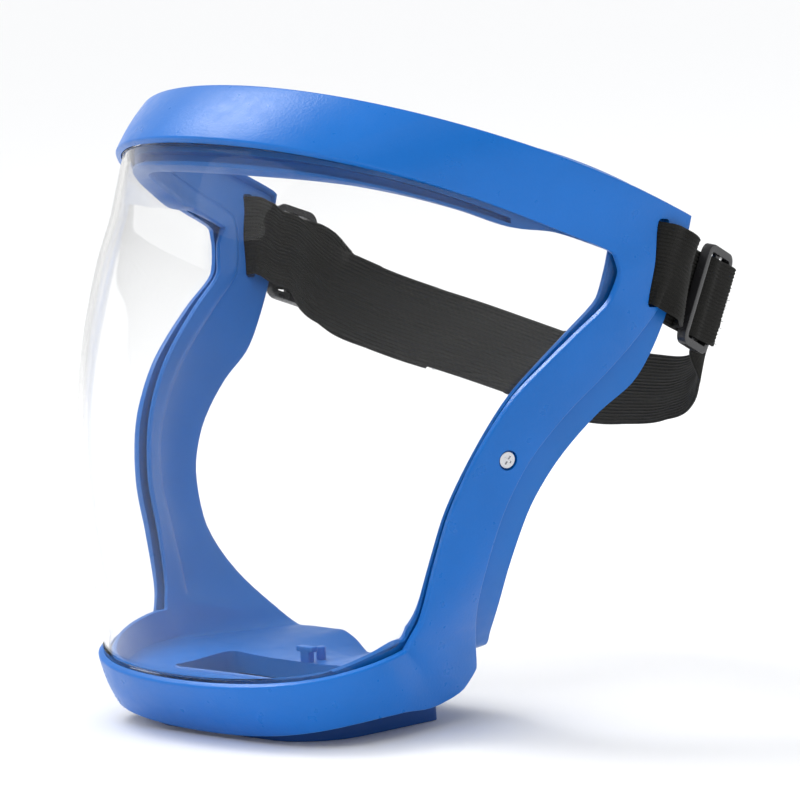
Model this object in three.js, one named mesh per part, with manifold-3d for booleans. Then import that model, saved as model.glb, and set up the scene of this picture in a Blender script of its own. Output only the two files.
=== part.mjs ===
// Full-face splash shield: a blue outer frame and a blue inner frame hold a clear domed visor between
// them, two screws close the frames together, a filter drawer fills the chin, and an elastic strap with
// two slide buckles goes round the head.
// Millimetres, +Z up. The wearer looks along -Y, and the wearer's left is +X. The shield stands on its chin.
import * as THREE from "three";
import { mergeVertices } from "three/addons/utils/BufferGeometryUtils.js";
import Module from "manifold-3d";

const wasm = await Module();
wasm.setup();

// ---- Driving dimensions ----
const FRAME_WALL = 2.5; // outer frame
const SEAL_WALL = 2.0; // inner frame
const LENS_WALL = 2.0;
const GAP = 0.35; // between parts that meet
const LENS_LAP = 8; // how far the lens runs behind the frame
const BROW_STEPS = 8; // stations from the middle of the brow to the temple, and again at the chin
const SLOT = { wide: 6, long: 34, corner: 1.4, deep: 26 };
const SCREW = { headRadius: 3.3, shankRadius: 1.5, length: 8, sink: 1.3, clear: 0.4, across: 12.3 };
const BOSS = { radius: 3.8, depth: 9.5 }; // what the screw threads into, on the inner frame
const STRAP = { thick: 1.5, wide: 30 };
const PORT = { wide: 76, rear: -30, front: -60, corner: 5 }; // breathing port in the chin floor
const HOOK = { y: -27.5, wide: 4.6, head: 8.5, thick: 3, tall: 5.5 }; // catch beside the port
const PEG = { y: -20.5, radius: 1.8, tall: 4 };
const TRAY = { wide: 98, rear: -9, front: -71, noseCorner: 24, corner: 3, floor: 1.6, deck: 2.4, wall: 2,
  top: 12.2 };
const FLANGE = { out: 2.4, thick: 1.8 }; // edge of the tray that rides in the runners
const RUNNER = { wall: 1.8, front: -42, rear: -14, ledge: 2.2, top: 22.4 };
const VENT = { count: 7, wide: 3, long: 30, apart: 9 }; // slits in the tray's floor
const FILTER = { wide: 84, rear: -14, front: -64, corner: 16, thick: 6 };
const BUCKLE = { long: 38, wide: 20, thick: 2.8, corner: 4, slotLong: 31.5, slotWide: 5.6, middle: 3.2 };
const ORIGIN = new THREE.Vector3(0, 3, TRAY.floor); // middle of the footprint, in the coordinates below

const COLOURS = {
  frame: { color: 0x2f7fd6, roughness: 0.42, metalness: 0 },
  seal: { color: 0x3a7cc8, roughness: 0.5, metalness: 0 },
  lens: { color: 0xeeeeec, roughness: 0.04, metalness: 0 },
  steel: { color: 0xc9ccd0, roughness: 0.18, metalness: 1 },
  webbing: { color: 0x232320, roughness: 0.95, metalness: 0 },
  buckle: { color: 0x3a3b3d, roughness: 0.3, metalness: 0 },
  filter: { color: 0x7b7f86, roughness: 1, metalness: 0 },
};

const v = (x, y, z) => new THREE.Vector3(x, y, z);

// ---- Edge curves of the right-hand half, from the middle of the brow round to the middle of the chin ----
const BROW_WINDOW = new THREE.CubicBezierCurve3(
  v(0, -70, 216.5), v(76.5, -70, 216.5), v(94, -18.5, 193), v(108.7, 31, 168.5));
const BROW_TOP = new THREE.CubicBezierCurve3(
  v(0, -47, 233.5), v(73.5, -47, 233.5), v(123, -0.5, 209), v(113.3, 66, 179));
const CHIN_WINDOW = new THREE.CubicBezierCurve3(
  v(0, -92.4, 22.6), v(45.5, -92.4, 22.6), v(76.5, -77.5, 28), v(68, -42, 33));
const CHIN_BOTTOM = new THREE.CubicBezierCurve3(
  v(0, -77.3, 2.6), v(50.3, -77.3, 2.6), v(74.3, -80.8, 13), v(62, -21.4, 9.7));

// Cheek stations: window edge, rear edge of the outer frame, face edge of the inner frame.
const CHEEK = [
  [v(109.5, 32.5, 162), v(112.3, 63, 168), v(109.2, 65, 166)],
  [v(107, 29, 152), v(109.6, 56.5, 153), v(106.6, 61.5, 152)],
  [v(104.5, 14.5, 142), v(107.5, 42, 138), v(104.6, 52, 133)],
  [v(101.3, 0.7, 132), v(105, 27, 126), v(102.6, 42.5, 121)],
  [v(97.6, -11.3, 122), v(102, 12, 115), v(99.6, 28, 112)],
  [v(91.5, -25.7, 102), v(97, -5, 98), v(94.6, 10.5, 96)],
  [v(84.5, -33, 82), v(91.5, -13, 81), v(89.4, 1.8, 81)],
  [v(77.6, -35.2, 62), v(83, -14.5, 61), v(81.2, -1.3, 61)],
  [v(71.8, -37.5, 42), v(69.5, -8, 40), v(67.4, 4, 41)],
  [v(70.2, -39.3, 38), v(63, -2.5, 30), v(58.5, 9, 32)],
  [v(69.4, -40.5, 36), v(61.6, -1.3, 20), v(52, 13, 26)],
  [v(68.8, -41.2, 34.5), v(61.4, -8, 13.4), v(48, 13, 24.5)],
];
const CHIN_FOLDS = [v(58.5, -6, 31), v(57.5, -9, 28), v(56.4, -12, 25.5)]; // the last cheek stations' floor

// Profile of the visor in the plane of symmetry, from the brow down.
const VISOR_PROFILE = new THREE.CatmullRomCurve3([
  v(0, -70, 216.5), v(0, -89, 182), v(0, -98.5, 142), v(0, -102, 102), v(0, -103, 66), v(0, -92.4, 22.6)]);
const BROW_RUN = v(-15, -50, 24.5); // how a lens arc leaves the temple, at the brow and at the chin
const CHIN_RUN = v(8.5, -35.5, -5);

const VIEW_CENTRE = v(0, 10, 115); // a point inside the shield, to tell outside from inside

// ---- Small helpers ----
function asSolid(geometry) {
  const plain = (geometry.index ? geometry.toNonIndexed() : geometry.clone());
  plain.deleteAttribute("normal");
  plain.deleteAttribute("uv");
  const merged = mergeVertices(plain, 1e-4);
  return new wasm.Manifold(new wasm.Mesh({
    numProp: 3,
    vertProperties: new Float32Array(merged.attributes.position.array),
    triVerts: new Uint32Array(merged.index.array),
  }));
}

function asGeometry(solid) {
  const mesh = solid.getMesh();
  const positions = new Float32Array(mesh.numVert * 3);
  for (let i = 0; i < mesh.numVert; i++) {
    positions.set(mesh.vertProperties.subarray(i * mesh.numProp, i * mesh.numProp + 3), i * 3);
  }
  return new THREE.BufferGeometry()
    .setAttribute("position", new THREE.BufferAttribute(positions, 3))
    .setIndex(new THREE.BufferAttribute(mesh.triVerts, 1));
}

function cut(geometry, ...tools) {
  return asGeometry(tools.reduce((solid, tool) => solid.subtract(asSolid(tool)), asSolid(geometry)));
}

function join(geometry, ...others) {
  return asGeometry(others.reduce((solid, other) => solid.add(asSolid(other)), asSolid(geometry)));
}

// Keeps the largest of the separate bodies that a cut can leave.
function largest(geometry) {
  const bodies = asSolid(geometry).decompose().sort((a, b) => b.volume() - a.volume());
  return asGeometry(bodies[0]);
}

function signedVolume(points, faces) {
  return faces.reduce((sum, [a, b, c]) => {
    return sum + points[a].dot(new THREE.Vector3().crossVectors(points[b], points[c])) / 6;
  }, 0);
}

function closedGeometry(points, faces) {
  const outward = signedVolume(points, faces) > 0;
  const index = faces.flatMap(([a, b, c]) => (outward ? [a, b, c] : [a, c, b]));
  return new THREE.BufferGeometry().setFromPoints(points).setIndex(index);
}

// Skin over a row of sections with equal counts of points. A ring closes on itself, a strip has end caps.
function loft(sections, ring) {
  const count = sections[0].length;
  const points = sections.flat();
  const faces = [];
  const spans = ring ? sections.length : sections.length - 1;
  for (let i = 0; i < spans; i++) {
    const here = i * count;
    const next = ((i + 1) % sections.length) * count;
    for (let k = 0; k < count; k++) {
      const l = (k + 1) % count;
      faces.push([here + k, here + l, next + l], [here + k, next + l, next + k]);
    }
  }
  if (!ring) {
    const last = (sections.length - 1) * count;
    for (let k = 1; k < count - 1; k++) {
      faces.push([0, k + 1, k], [last, last + k, last + k + 1]);
    }
  }
  return closedGeometry(points, faces);
}

function mesh(name, geometry, look) {
  const made = new THREE.Mesh(geometry, new THREE.MeshStandardMaterial(look));
  made.name = name;
  return made;
}

// Plate from z = 0 up. The nose corners are those at -Y.
function roundedPlate(wide, long, corner, thick, noseCorner = corner) {
  const x = wide / 2;
  const y = long / 2;
  const outline = new THREE.Shape();
  outline.moveTo(-x + noseCorner, -y);
  outline.lineTo(x - noseCorner, -y);
  outline.absarc(x - noseCorner, -y + noseCorner, noseCorner, -Math.PI / 2, 0);
  outline.absarc(x - corner, y - corner, corner, 0, Math.PI / 2);
  outline.absarc(-x + corner, y - corner, corner, Math.PI / 2, Math.PI);
  outline.absarc(-x + noseCorner, -y + noseCorner, noseCorner, Math.PI, 1.5 * Math.PI);
  return new THREE.ExtrudeGeometry(outline, { depth: thick, bevelEnabled: false, curveSegments: 6 });
}

// Moves a geometry so that its own X, Y and Z lie along the given axes, with its origin at a point.
function placed(geometry, x, y, z, at) {
  return geometry.clone().applyMatrix4(new THREE.Matrix4().makeBasis(x, y, z).setPosition(at));
}

const box = (x0, x1, y0, y1, z0, z1) => new THREE.BoxGeometry(x1 - x0, y1 - y0, z1 - z0)
  .translate((x0 + x1) / 2, (y0 + y1) / 2, (z0 + z1) / 2);

const mirrorX = (p) => v(-p.x, p.y, p.z);

// ---- Stations round the window ----
// Each holds the window edge, the rear edge, the face edge, the direction across the frame and the
// outward normal. `kind` is brow, cheek or chin.
function chinFaceEdge(t) {
  const x = 46 * t;
  const rise = THREE.MathUtils.smoothstep(x, 4, 24);
  return v(x, 13, 15 + 9 * rise);
}

function halfStations() {
  const list = [];
  for (let i = 0; i <= BROW_STEPS; i++) {
    const t = i / BROW_STEPS;
    list.push({ kind: "brow", t, window: BROW_WINDOW.getPoint(t), rear: BROW_TOP.getPoint(t),
      face: null, fold: null });
  }
  CHEEK.forEach(([window, rear, face], i) => {
    const fold = CHIN_FOLDS[i - (CHEEK.length - CHIN_FOLDS.length)] ?? null;
    list.push({ kind: "cheek", t: i / (CHEEK.length - 1), window, rear, face, fold });
  });
  for (let i = BROW_STEPS; i >= 0; i--) {
    const t = i / BROW_STEPS;
    const fold = v(55 * t, -15, 20 + 4 * t * t);
    list.push({ kind: "chin", t, window: CHIN_WINDOW.getPoint(t), rear: CHIN_BOTTOM.getPoint(t),
      face: chinFaceEdge(t), fold });
  }
  return list;
}

function ringStations() {
  const half = halfStations();
  const other = half.slice(1, -1).reverse().map((s) => ({ ...s,
    window: mirrorX(s.window), rear: mirrorX(s.rear), face: s.face && mirrorX(s.face),
    fold: s.fold && mirrorX(s.fold) }));
  const ring = [...half, ...other];
  const middles = ring.map((s) => s.window.clone().add(s.rear).multiplyScalar(0.5));
  return ring.map((s, i) => {
    const before = middles[(i + ring.length - 1) % ring.length];
    const after = middles[(i + 1) % ring.length];
    const along = after.clone().sub(before).normalize();
    const across = s.rear.clone().sub(s.window).normalize();
    const normal = new THREE.Vector3().crossVectors(across, along).normalize();
    if (normal.dot(middles[i].clone().sub(VIEW_CENTRE)) < 0) normal.negate();
    return { ...s, along, across, normal };
  });
}

const RING = ringStations();
const HALF = RING.length / 2; // index of the middle of the chin

// Point at a distance from the window edge across the frame, and at a depth under its outer face.
function under(station, distance, depth) {
  return station.window.clone().addScaledVector(station.across, distance)
    .addScaledVector(station.normal, -depth);
}

// ---- Outer frame ----
// `over` and `past` grow the shell outwards and beyond its edges, for cutting clearance into other parts.
function outerFrameShell(wall = FRAME_WALL, over = 0, past = 0) {
  return loft(RING.map((s) => {
    const width = s.rear.distanceTo(s.window);
    return [under(s, -past, -over), under(s, width + past, -over), under(s, width + past, wall),
      under(s, -past, wall)];
  }), true);
}

// ---- Visor ----
function visorRow(row) {
  const edge = RING[BROW_STEPS + row].window;
  const top = RING[BROW_STEPS].window;
  const bottom = RING[HALF - BROW_STEPS].window;
  const f = (top.z - edge.z) / (top.z - bottom.z);
  const middle = visorMiddle(f);
  const reach = edge.x * (0.70 - 0.03 * f - 0.35 * f * (1 - f));
  const run = BROW_RUN.clone().lerp(CHIN_RUN, f);
  return new THREE.CubicBezierCurve3(middle, middle.clone().setX(reach), edge.clone().add(run), edge);
}

function visorMiddle(f) {
  const z = THREE.MathUtils.lerp(216.5, 22.6, f);
  let low = 0;
  let high = 1;
  for (let i = 0; i < 40; i++) {
    const mid = (low + high) / 2;
    if (VISOR_PROFILE.getPoint(mid).z > z) low = mid;
    else high = mid;
  }
  return VISOR_PROFILE.getPoint(low).setX(0);
}

// Grid of points on the outer face of the dome that fills the window, rows from brow to chin.
function visorGrid() {
  const rows = HALF - 2 * BROW_STEPS;
  const grid = [];
  for (let row = 0; row <= rows; row++) {
    const arc = visorRow(row);
    const line = [];
    for (let i = -BROW_STEPS; i <= BROW_STEPS; i++) {
      const p = arc.getPoint(Math.abs(i) / BROW_STEPS);
      line.push(i < 0 ? mirrorX(p) : p);
    }
    grid.push(line);
  }
  return grid;
}

function gridNormal(grid, r, c) {
  const rows = grid.length - 1;
  const columns = grid[0].length - 1;
  const down = grid[Math.min(r + 1, rows)][c].clone().sub(grid[Math.max(r - 1, 0)][c]);
  const right = grid[r][Math.min(c + 1, columns)].clone().sub(grid[r][Math.max(c - 1, 0)]);
  const normal = down.cross(right).normalize();
  return normal.dot(grid[r][c].clone().sub(VIEW_CENTRE)) < 0 ? normal.negate() : normal;
}

// Ring index of a vertex on the border of the visor's grid.
function borderStation(grid, r, c) {
  const rows = grid.length - 1;
  const columns = grid[0].length - 1;
  const half = columns / 2;
  const steps = (i) => (i + RING.length) % RING.length;
  if (r === 0) return steps(c - half);
  if (r === rows) return steps(HALF - (c - half));
  if (c === columns) return steps(half + r);
  if (c === 0) return steps(-half - r);
  return -1;
}

function visorBody(from = FRAME_WALL + GAP, to = FRAME_WALL + GAP + LENS_WALL, lap = LENS_LAP) {
  const grid = visorGrid();
  const rows = grid.length - 1;
  const columns = grid[0].length - 1;
  const points = [];
  const faces = [];
  const layer = (depth) => {
    const first = points.length;
    grid.forEach((line, r) => line.forEach((p, c) => {
      const s = borderStation(grid, r, c);
      const normal = s < 0 ? gridNormal(grid, r, c) : RING[s].normal;
      points.push(p.clone().addScaledVector(normal, -depth));
    }));
    const border = points.length;
    RING.forEach((s) => points.push(under(s, lap, depth)));
    return { first, border };
  };
  const outer = layer(from);
  const inner = layer(to);
  const at = (r, c) => r * (columns + 1) + c;
  const rim = new Array(RING.length);
  for (let r = 0; r <= rows; r++) {
    for (let c = 0; c <= columns; c++) {
      const s = borderStation(grid, r, c);
      if (s >= 0) rim[s] = at(r, c);
    }
  }
  const quad = (a, b, c, d, flip) => {
    if (flip) faces.push([a, c, b], [a, d, c]);
    else faces.push([a, b, c], [a, c, d]);
  };
  [[outer, false], [inner, true]].forEach(([skin, flip]) => {
    for (let r = 0; r < rows; r++) {
      for (let c = 0; c < columns; c++) {
        quad(skin.first + at(r, c), skin.first + at(r + 1, c), skin.first + at(r + 1, c + 1),
          skin.first + at(r, c + 1), flip);
      }
    }
    RING.forEach((_, i) => {
      const j = (i + 1) % RING.length;
      quad(skin.first + rim[i], skin.first + rim[j], skin.border + j, skin.border + i, flip);
    });
  });
  RING.forEach((_, i) => {
    const j = (i + 1) % RING.length;
    quad(outer.border + i, outer.border + j, inner.border + j, inner.border + i, false);
  });
  return closedGeometry(points, faces);
}

// ---- Inner frame: lens lip, wall behind the outer frame, face flange, and the floor of the chin ----
// How far the lip shows inside the window, how far it stands back from the lens, how far the flange
// runs on from the rear edge of the brow, and how much it turns towards the forehead.
const LIP = {
  brow: { reach: 7.5, back: 3.2, flange: 11, turn: 1.1 },
  temple: { reach: 3.5, back: 0.6, flange: 4, turn: 0.9 },
  cheek: { reach: -2, back: 0.4 },
  chin: { reach: 0.6, back: 0.4 },
};

function lipAt(station) {
  if (station.kind === "chin") return LIP.chin;
  if (station.kind === "cheek") {
    const f = THREE.MathUtils.clamp(station.t / 0.45, 0, 1);
    return { reach: THREE.MathUtils.lerp(LIP.temple.reach, LIP.cheek.reach, f), back: LIP.cheek.back };
  }
  const f = THREE.MathUtils.clamp(station.t * 1.1 - 0.1, 0, 1);
  const mix = (key) => THREE.MathUtils.lerp(LIP.brow[key], LIP.temple[key], f);
  return { reach: mix("reach"), back: mix("back"), flange: mix("flange"), turn: mix("turn") };
}

function sealLine(station, into) {
  const lip = lipAt(station);
  const back = FRAME_WALL + LENS_WALL + 2 * GAP;
  const lensNormal = new THREE.Vector3().crossVectors(into, station.along).normalize();
  if (lensNormal.dot(station.normal) < 0) lensNormal.negate();
  const edge = station.window.clone().addScaledVector(into, lip.reach)
    .addScaledVector(lensNormal, -back - lip.back);
  const width = station.rear.distanceTo(station.window);
  const behindLens = under(station, LENS_LAP + 1.5, back);
  const fold = station.fold ?? under(station, width - 1, FRAME_WALL + GAP);
  const step = station.fold
    ? behindLens.clone().lerp(fold, 0.12)
    : under(station, LENS_LAP + 3, FRAME_WALL + GAP);
  const face = station.face ?? fold.clone()
    .addScaledVector(station.across, lip.flange * Math.cos(lip.turn))
    .addScaledVector(station.normal, -lip.flange * Math.sin(lip.turn));
  return [edge, behindLens, step, fold, face];
}

// Thickens an open line of points inwards, square to the ring's direction, into a closed section.
function thicken(line, station, wall) {
  const normals = line.map((p, i) => {
    const sum = new THREE.Vector3();
    [[i - 1, i], [i, i + 1]].forEach(([a, b]) => {
      if (a < 0 || b >= line.length) return;
      const run = line[b].clone().sub(line[a]).normalize();
      sum.add(run.cross(station.along).normalize());
    });
    return sum.normalize();
  });
  const sign = normals[1].dot(station.normal) < 0 ? 1 : -1;
  const inside = line.map((p, i) => p.clone().addScaledVector(normals[i], sign * wall));
  return [...line, ...inside.reverse()];
}

// Direction from each point of the window edge into the window, along the dome.
function windowInward() {
  const grid = visorGrid();
  const rows = grid.length - 1;
  const columns = grid[0].length - 1;
  const into = new Array(RING.length);
  grid.forEach((line, r) => line.forEach((p, c) => {
    const s = borderStation(grid, r, c);
    if (s < 0) return;
    const inner = grid[THREE.MathUtils.clamp(r, 1, rows - 1)][THREE.MathUtils.clamp(c, 1, columns - 1)];
    into[s] = inner.clone().sub(p).normalize();
  }));
  return into;
}

function sealShell() {
  const into = windowInward();
  return loft(RING.map((s, i) => thicken(sealLine(s, into[i]), s, SEAL_WALL)), true);
}

// ---- Chin: port, catch, peg and runners of the inner frame ----
function portCutter() {
  return roundedPlate(PORT.wide, PORT.rear - PORT.front, PORT.corner, 20)
    .translate(0, (PORT.rear + PORT.front) / 2, 12);
}

function chinCatch() {
  const foot = box(-HOOK.wide / 2, HOOK.wide / 2, HOOK.y - HOOK.thick / 2, HOOK.y + HOOK.thick / 2,
    20.2, 21.5 + HOOK.tall - 1.5);
  const head = box(-HOOK.head / 2, HOOK.head / 2, HOOK.y - HOOK.thick / 2, HOOK.y + HOOK.thick / 2,
    21.5 + HOOK.tall - 2, 21.5 + HOOK.tall);
  return join(foot, head);
}

function chinPeg() {
  return new THREE.CylinderGeometry(PEG.radius * 0.8, PEG.radius, PEG.tall + 1, 16)
    .rotateX(Math.PI / 2).translate(0, PEG.y, 21.8 + PEG.tall / 2 - 0.5);
}

// A channel that hangs from the chin floor and carries one edge of the filter tray.
function runner(side) {
  const edge = TRAY.wide / 2 + FLANGE.out + GAP;
  const under = TRAY.top - FLANGE.thick - GAP;
  const wall = box(edge, edge + RUNNER.wall, RUNNER.front, RUNNER.rear, under - RUNNER.ledge, RUNNER.top);
  const ledge = box(TRAY.wide / 2 + GAP, edge + 0.5, RUNNER.front, RUNNER.rear, under - RUNNER.ledge, under);
  const channel = join(wall, ledge);
  return side > 0 ? channel : placed(channel, v(-1, 0, 0), v(0, -1, 0), v(0, 0, 1),
    v(0, RUNNER.front + RUNNER.rear, 0));
}

// ---- Screws ----
function screwStation(side) {
  const index = BROW_STEPS + 6;
  return RING[side > 0 ? index : RING.length - index];
}

function onScrewAxis(geometry, side) {
  const s = screwStation(side);
  const x = new THREE.Vector3().crossVectors(s.normal, s.along).normalize();
  const y = new THREE.Vector3().crossVectors(s.normal, x).normalize();
  return placed(geometry, x, y, s.normal, under(s, SCREW.across, 0));
}

// A cylinder from one depth under the outer face to another.
function drill(radius, from, to) {
  return new THREE.CylinderGeometry(radius, radius, to - from, 20)
    .rotateX(Math.PI / 2).translate(0, 0, -(from + to) / 2);
}

function screwBody() {
  const { headRadius, shankRadius, length, sink } = SCREW;
  const profile = [[0, -length], [shankRadius * 0.6, -length], [shankRadius, -length + 1],
    [shankRadius, -sink], [headRadius, -sink], [headRadius, -sink + 0.5], [headRadius * 0.7, -0.2],
    [0, -0.2]];
  return new THREE.LatheGeometry(profile.map(([r, y]) => new THREE.Vector2(r, y)), 20)
    .rotateX(Math.PI / 2);
}

// ---- Strap slots through the temples ----
// The temple's own axes: rearward along the frame, up along the slot, and outward.
const SLOT_CENTRE = v(110.6, 50.2, 163.65);
const SLOT_UP = v(4.9, 3.4, 29.5).normalize();
const SLOT_REAR = v(0.09, 0.977, 0.192).addScaledVector(SLOT_UP, -0.313).normalize();
const SLOT_OUT = new THREE.Vector3().crossVectors(SLOT_REAR, SLOT_UP).normalize();

function slotCutter(side) {
  const plate = roundedPlate(SLOT.wide, SLOT.long, SLOT.corner, SLOT.deep).translate(0, 0, -SLOT.deep / 2);
  const cutter = placed(plate, SLOT_REAR, SLOT_UP, SLOT_OUT, SLOT_CENTRE);
  return side > 0 ? cutter : mirrored(cutter);
}

// Mirrors a closed geometry to the wearer's other side, with its faces kept outward.
function mirrored(geometry) {
  const flipped = geometry.clone().applyMatrix4(new THREE.Matrix4().makeScale(-1, 1, 1));
  const plain = flipped.index ? flipped.toNonIndexed() : flipped;
  const p = plain.getAttribute("position").array;
  for (let i = 0; i < p.length; i += 9) {
    for (let k = 0; k < 3; k++) {
      [p[i + 3 + k], p[i + 6 + k]] = [p[i + 6 + k], p[i + 3 + k]];
    }
  }
  return plain;
}

// ---- Frame parts ----
function outerFrame() {
  const cuts = [1, -1].flatMap((side) => [
    slotCutter(side),
    onScrewAxis(drill(SCREW.headRadius + SCREW.clear, -3, SCREW.sink), side),
    onScrewAxis(drill(SCREW.shankRadius + SCREW.clear, -1, 6), side),
  ]);
  return cut(outerFrameShell(), ...cuts);
}

function visor() {
  return cut(visorBody(), outerFrameShell(FRAME_WALL + GAP * 0.8, 6, 0));
}

function innerFrame() {
  const bosses = [1, -1].map((side) => onScrewAxis(drill(BOSS.radius, FRAME_WALL + GAP, BOSS.depth), side));
  const solid = join(sealShell(), ...bosses, chinCatch(), chinPeg(), runner(1), runner(-1));
  const clearances = [
    outerFrameShell(FRAME_WALL + GAP * 0.8, 6, 0),
    visorBody(-4, FRAME_WALL + LENS_WALL + 1.8 * GAP, LENS_LAP + GAP),
    portCutter(),
    slotCutter(1), slotCutter(-1),
    ...[1, -1].map((side) => onScrewAxis(drill(SCREW.shankRadius + GAP, 0, BOSS.depth - 1), side)),
  ];
  return largest(cut(solid, ...clearances));
}

// ---- Filter tray in the chin ----
function trayBody() {
  const { wide, rear, front, noseCorner, corner, floor, deck, wall, top } = TRAY;
  const middle = (rear + front) / 2;
  const long = rear - front;
  const shell = roundedPlate(wide, long, corner, top - floor, noseCorner).translate(0, middle, floor);
  const hollow = roundedPlate(wide - 2 * wall, long - 2 * wall, corner - wall, top, noseCorner - wall)
    .translate(0, middle, floor + deck);
  const flanges = [1, -1].map((side) => box(
    side > 0 ? wide / 2 - wall : -wide / 2 - FLANGE.out, side > 0 ? wide / 2 + FLANGE.out : -wide / 2 + wall,
    RUNNER.front, rear - corner, top - FLANGE.thick, top));
  const slits = [];
  for (let i = 0; i < VENT.count; i++) {
    const x = (i - (VENT.count - 1) / 2) * VENT.apart;
    slits.push(box(x - VENT.wide / 2, x + VENT.wide / 2, middle - VENT.long / 2, middle + VENT.long / 2,
      floor - 1, floor + deck + 1));
  }
  return cut(join(shell, ...flanges), hollow, ...slits);
}

function filterPad() {
  const { wide, rear, front, corner, thick } = FILTER;
  return roundedPlate(wide, rear - front, 1, thick, corner)
    .translate(0, (rear + front) / 2, TRAY.floor + TRAY.deck + GAP);
}

// ---- Strap ----
// A flat band along a curve. The hint is turned square to the curve and gives the way its width points.
function band(points, steps, hintStart, hintEnd) {
  const curve = new THREE.CatmullRomCurve3(points, false, "centripetal");
  const sections = [];
  for (let i = 0; i <= steps; i++) {
    const t = i / steps;
    const at = curve.getPointAt(t);
    const run = curve.getTangentAt(t);
    const hint = hintStart.clone().lerp(hintEnd, t);
    const up = hint.addScaledVector(run, -hint.dot(run)).normalize().multiplyScalar(STRAP.wide / 2);
    const face = new THREE.Vector3().crossVectors(run, up).normalize();
    face.multiplyScalar(STRAP.thick / 2);
    sections.push([at.clone().add(up).add(face), at.clone().add(up).sub(face),
      at.clone().sub(up).sub(face), at.clone().sub(up).add(face)]);
  }
  return loft(sections, false);
}

// A point in the temple's axes: rearward from the slot, outward, and up along the slot.
const nearSlot = ([rear, out, up]) => SLOT_CENTRE.clone().addScaledVector(SLOT_REAR, rear)
  .addScaledVector(SLOT_OUT, out).addScaledVector(SLOT_UP, up);

// The webbing through a slot: out from inside the temple, round the bar, and back to the buckle.
const THROUGH_SLOT = [[6, -7.8, -1.6], [1.4, -7.4, 0], [-0.5, -5, 0], [-0.7, -2.4, 0], [-0.5, -0.2, 0],
  [1.4, 1.6, 0], [6, 2.2, -1.6]].map(nearSlot);
const LEFT_LOOP = [v(95.8, 88.4, 144.6), v(98.2, 80, 148.4), v(101.6, 68, 153.4), v(102.8, 60.5, 157.6),
  ...THROUGH_SLOT, ...[[13, 2.4, -5], [18.5, 0, -8], [22.5, -4.2, -10]].map(nearSlot)];
const RIGHT_LOOP = [v(101, 79, 152.4), v(102.2, 72, 154.9), v(102.8, 62, 158.6), ...THROUGH_SLOT,
  ...[[10, 3, -3.2], [13, 3.2, -4.2]].map(nearSlot)];

// Head band from behind the left buckle round the back to behind the right one.
const HEAD_BAND = [v(90.6, 98, 138), v(88.6, 96, 130.6), v(83, 93, 121), v(70, 92.5, 112.5),
  v(50, 98, 107.5), v(27, 102, 106), v(-15, 104, 114.6), v(-62, 96, 129), v(-88, 88.6, 142.4),
  v(-96.6, 84.4, 147.8)];
const UP_LEFT = v(0.078, 0.315, 0.946);
const UP_RIGHT = v(-0.2, 0.2, 0.96);

// ---- Buckles ----
function buckleBody() {
  const { long, wide, thick, corner, slotLong, slotWide, middle } = BUCKLE;
  const plate = roundedPlate(wide, long, corner, thick).translate(0, 0, -thick / 2);
  const offset = (middle + slotWide) / 2;
  const slots = [offset, -offset].map((x) => roundedPlate(slotWide, slotLong, 1, thick + 4)
    .translate(x, 0, -thick / 2 - 2));
  return cut(plate, ...slots);
}

// Where each buckle sits: its middle, the way the webbing runs through it, and the way its bars point.
const LEFT_BUCKLE = { at: v(101.2, 83.4, 146.7), run: v(-0.28, 0.88, -0.38), up: v(0.078, 0.315, 0.946) };
const RIGHT_BUCKLE = { at: v(-108.6, 75, 154), run: v(0.1, 0.9, -0.35), up: v(-0.23, 0.35, 0.92) };

function buckle({ at, run, up }) {
  const x = run.clone().normalize();
  const y = up.clone().addScaledVector(x, -up.dot(x)).normalize();
  return placed(buckleBody(), x, y, new THREE.Vector3().crossVectors(x, y), at);
}

// ---- Assembly ----
const shield = new THREE.Group();
shield.position.copy(ORIGIN).negate();
shield.add(
  mesh("outer_frame", outerFrame(), COLOURS.frame),
  mesh("visor", visor(), COLOURS.lens),
  mesh("inner_frame", innerFrame(), COLOURS.seal),
  mesh("filter_tray", trayBody(), COLOURS.frame),
  mesh("filter_pad", filterPad(), COLOURS.filter),
  mesh("cheek_screw_left", onScrewAxis(screwBody(), 1), COLOURS.steel),
  mesh("cheek_screw_right", onScrewAxis(screwBody(), -1), COLOURS.steel),
  mesh("strap_loop_left", band(LEFT_LOOP, 30, UP_LEFT, SLOT_UP), COLOURS.webbing),
  mesh("strap_loop_right", mirrored(band(RIGHT_LOOP, 30, mirrorX(UP_RIGHT), SLOT_UP)), COLOURS.webbing),
  mesh("head_strap", band(HEAD_BAND, 44, UP_LEFT, UP_RIGHT), COLOURS.webbing),
  mesh("buckle_left", buckle(LEFT_BUCKLE), COLOURS.buckle),
  mesh("buckle_right", buckle(RIGHT_BUCKLE), COLOURS.buckle),
);

export default shield;
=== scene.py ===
"""Full-face splash shield: a blue outer frame and inner frame with a clear domed visor, and a black strap.

The shield stands on the flat underside of its chin. Metres, +Z up. The wearer looks along -Y, and the
wearer's left is +X. Sizes in the classes are in millimetres and are turned into metres by MM.
"""

import logging
import math
import random
from dataclasses import dataclass, field
from enum import Enum

import bpy
import numpy as np
from mathutils import Matrix, Vector


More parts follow.
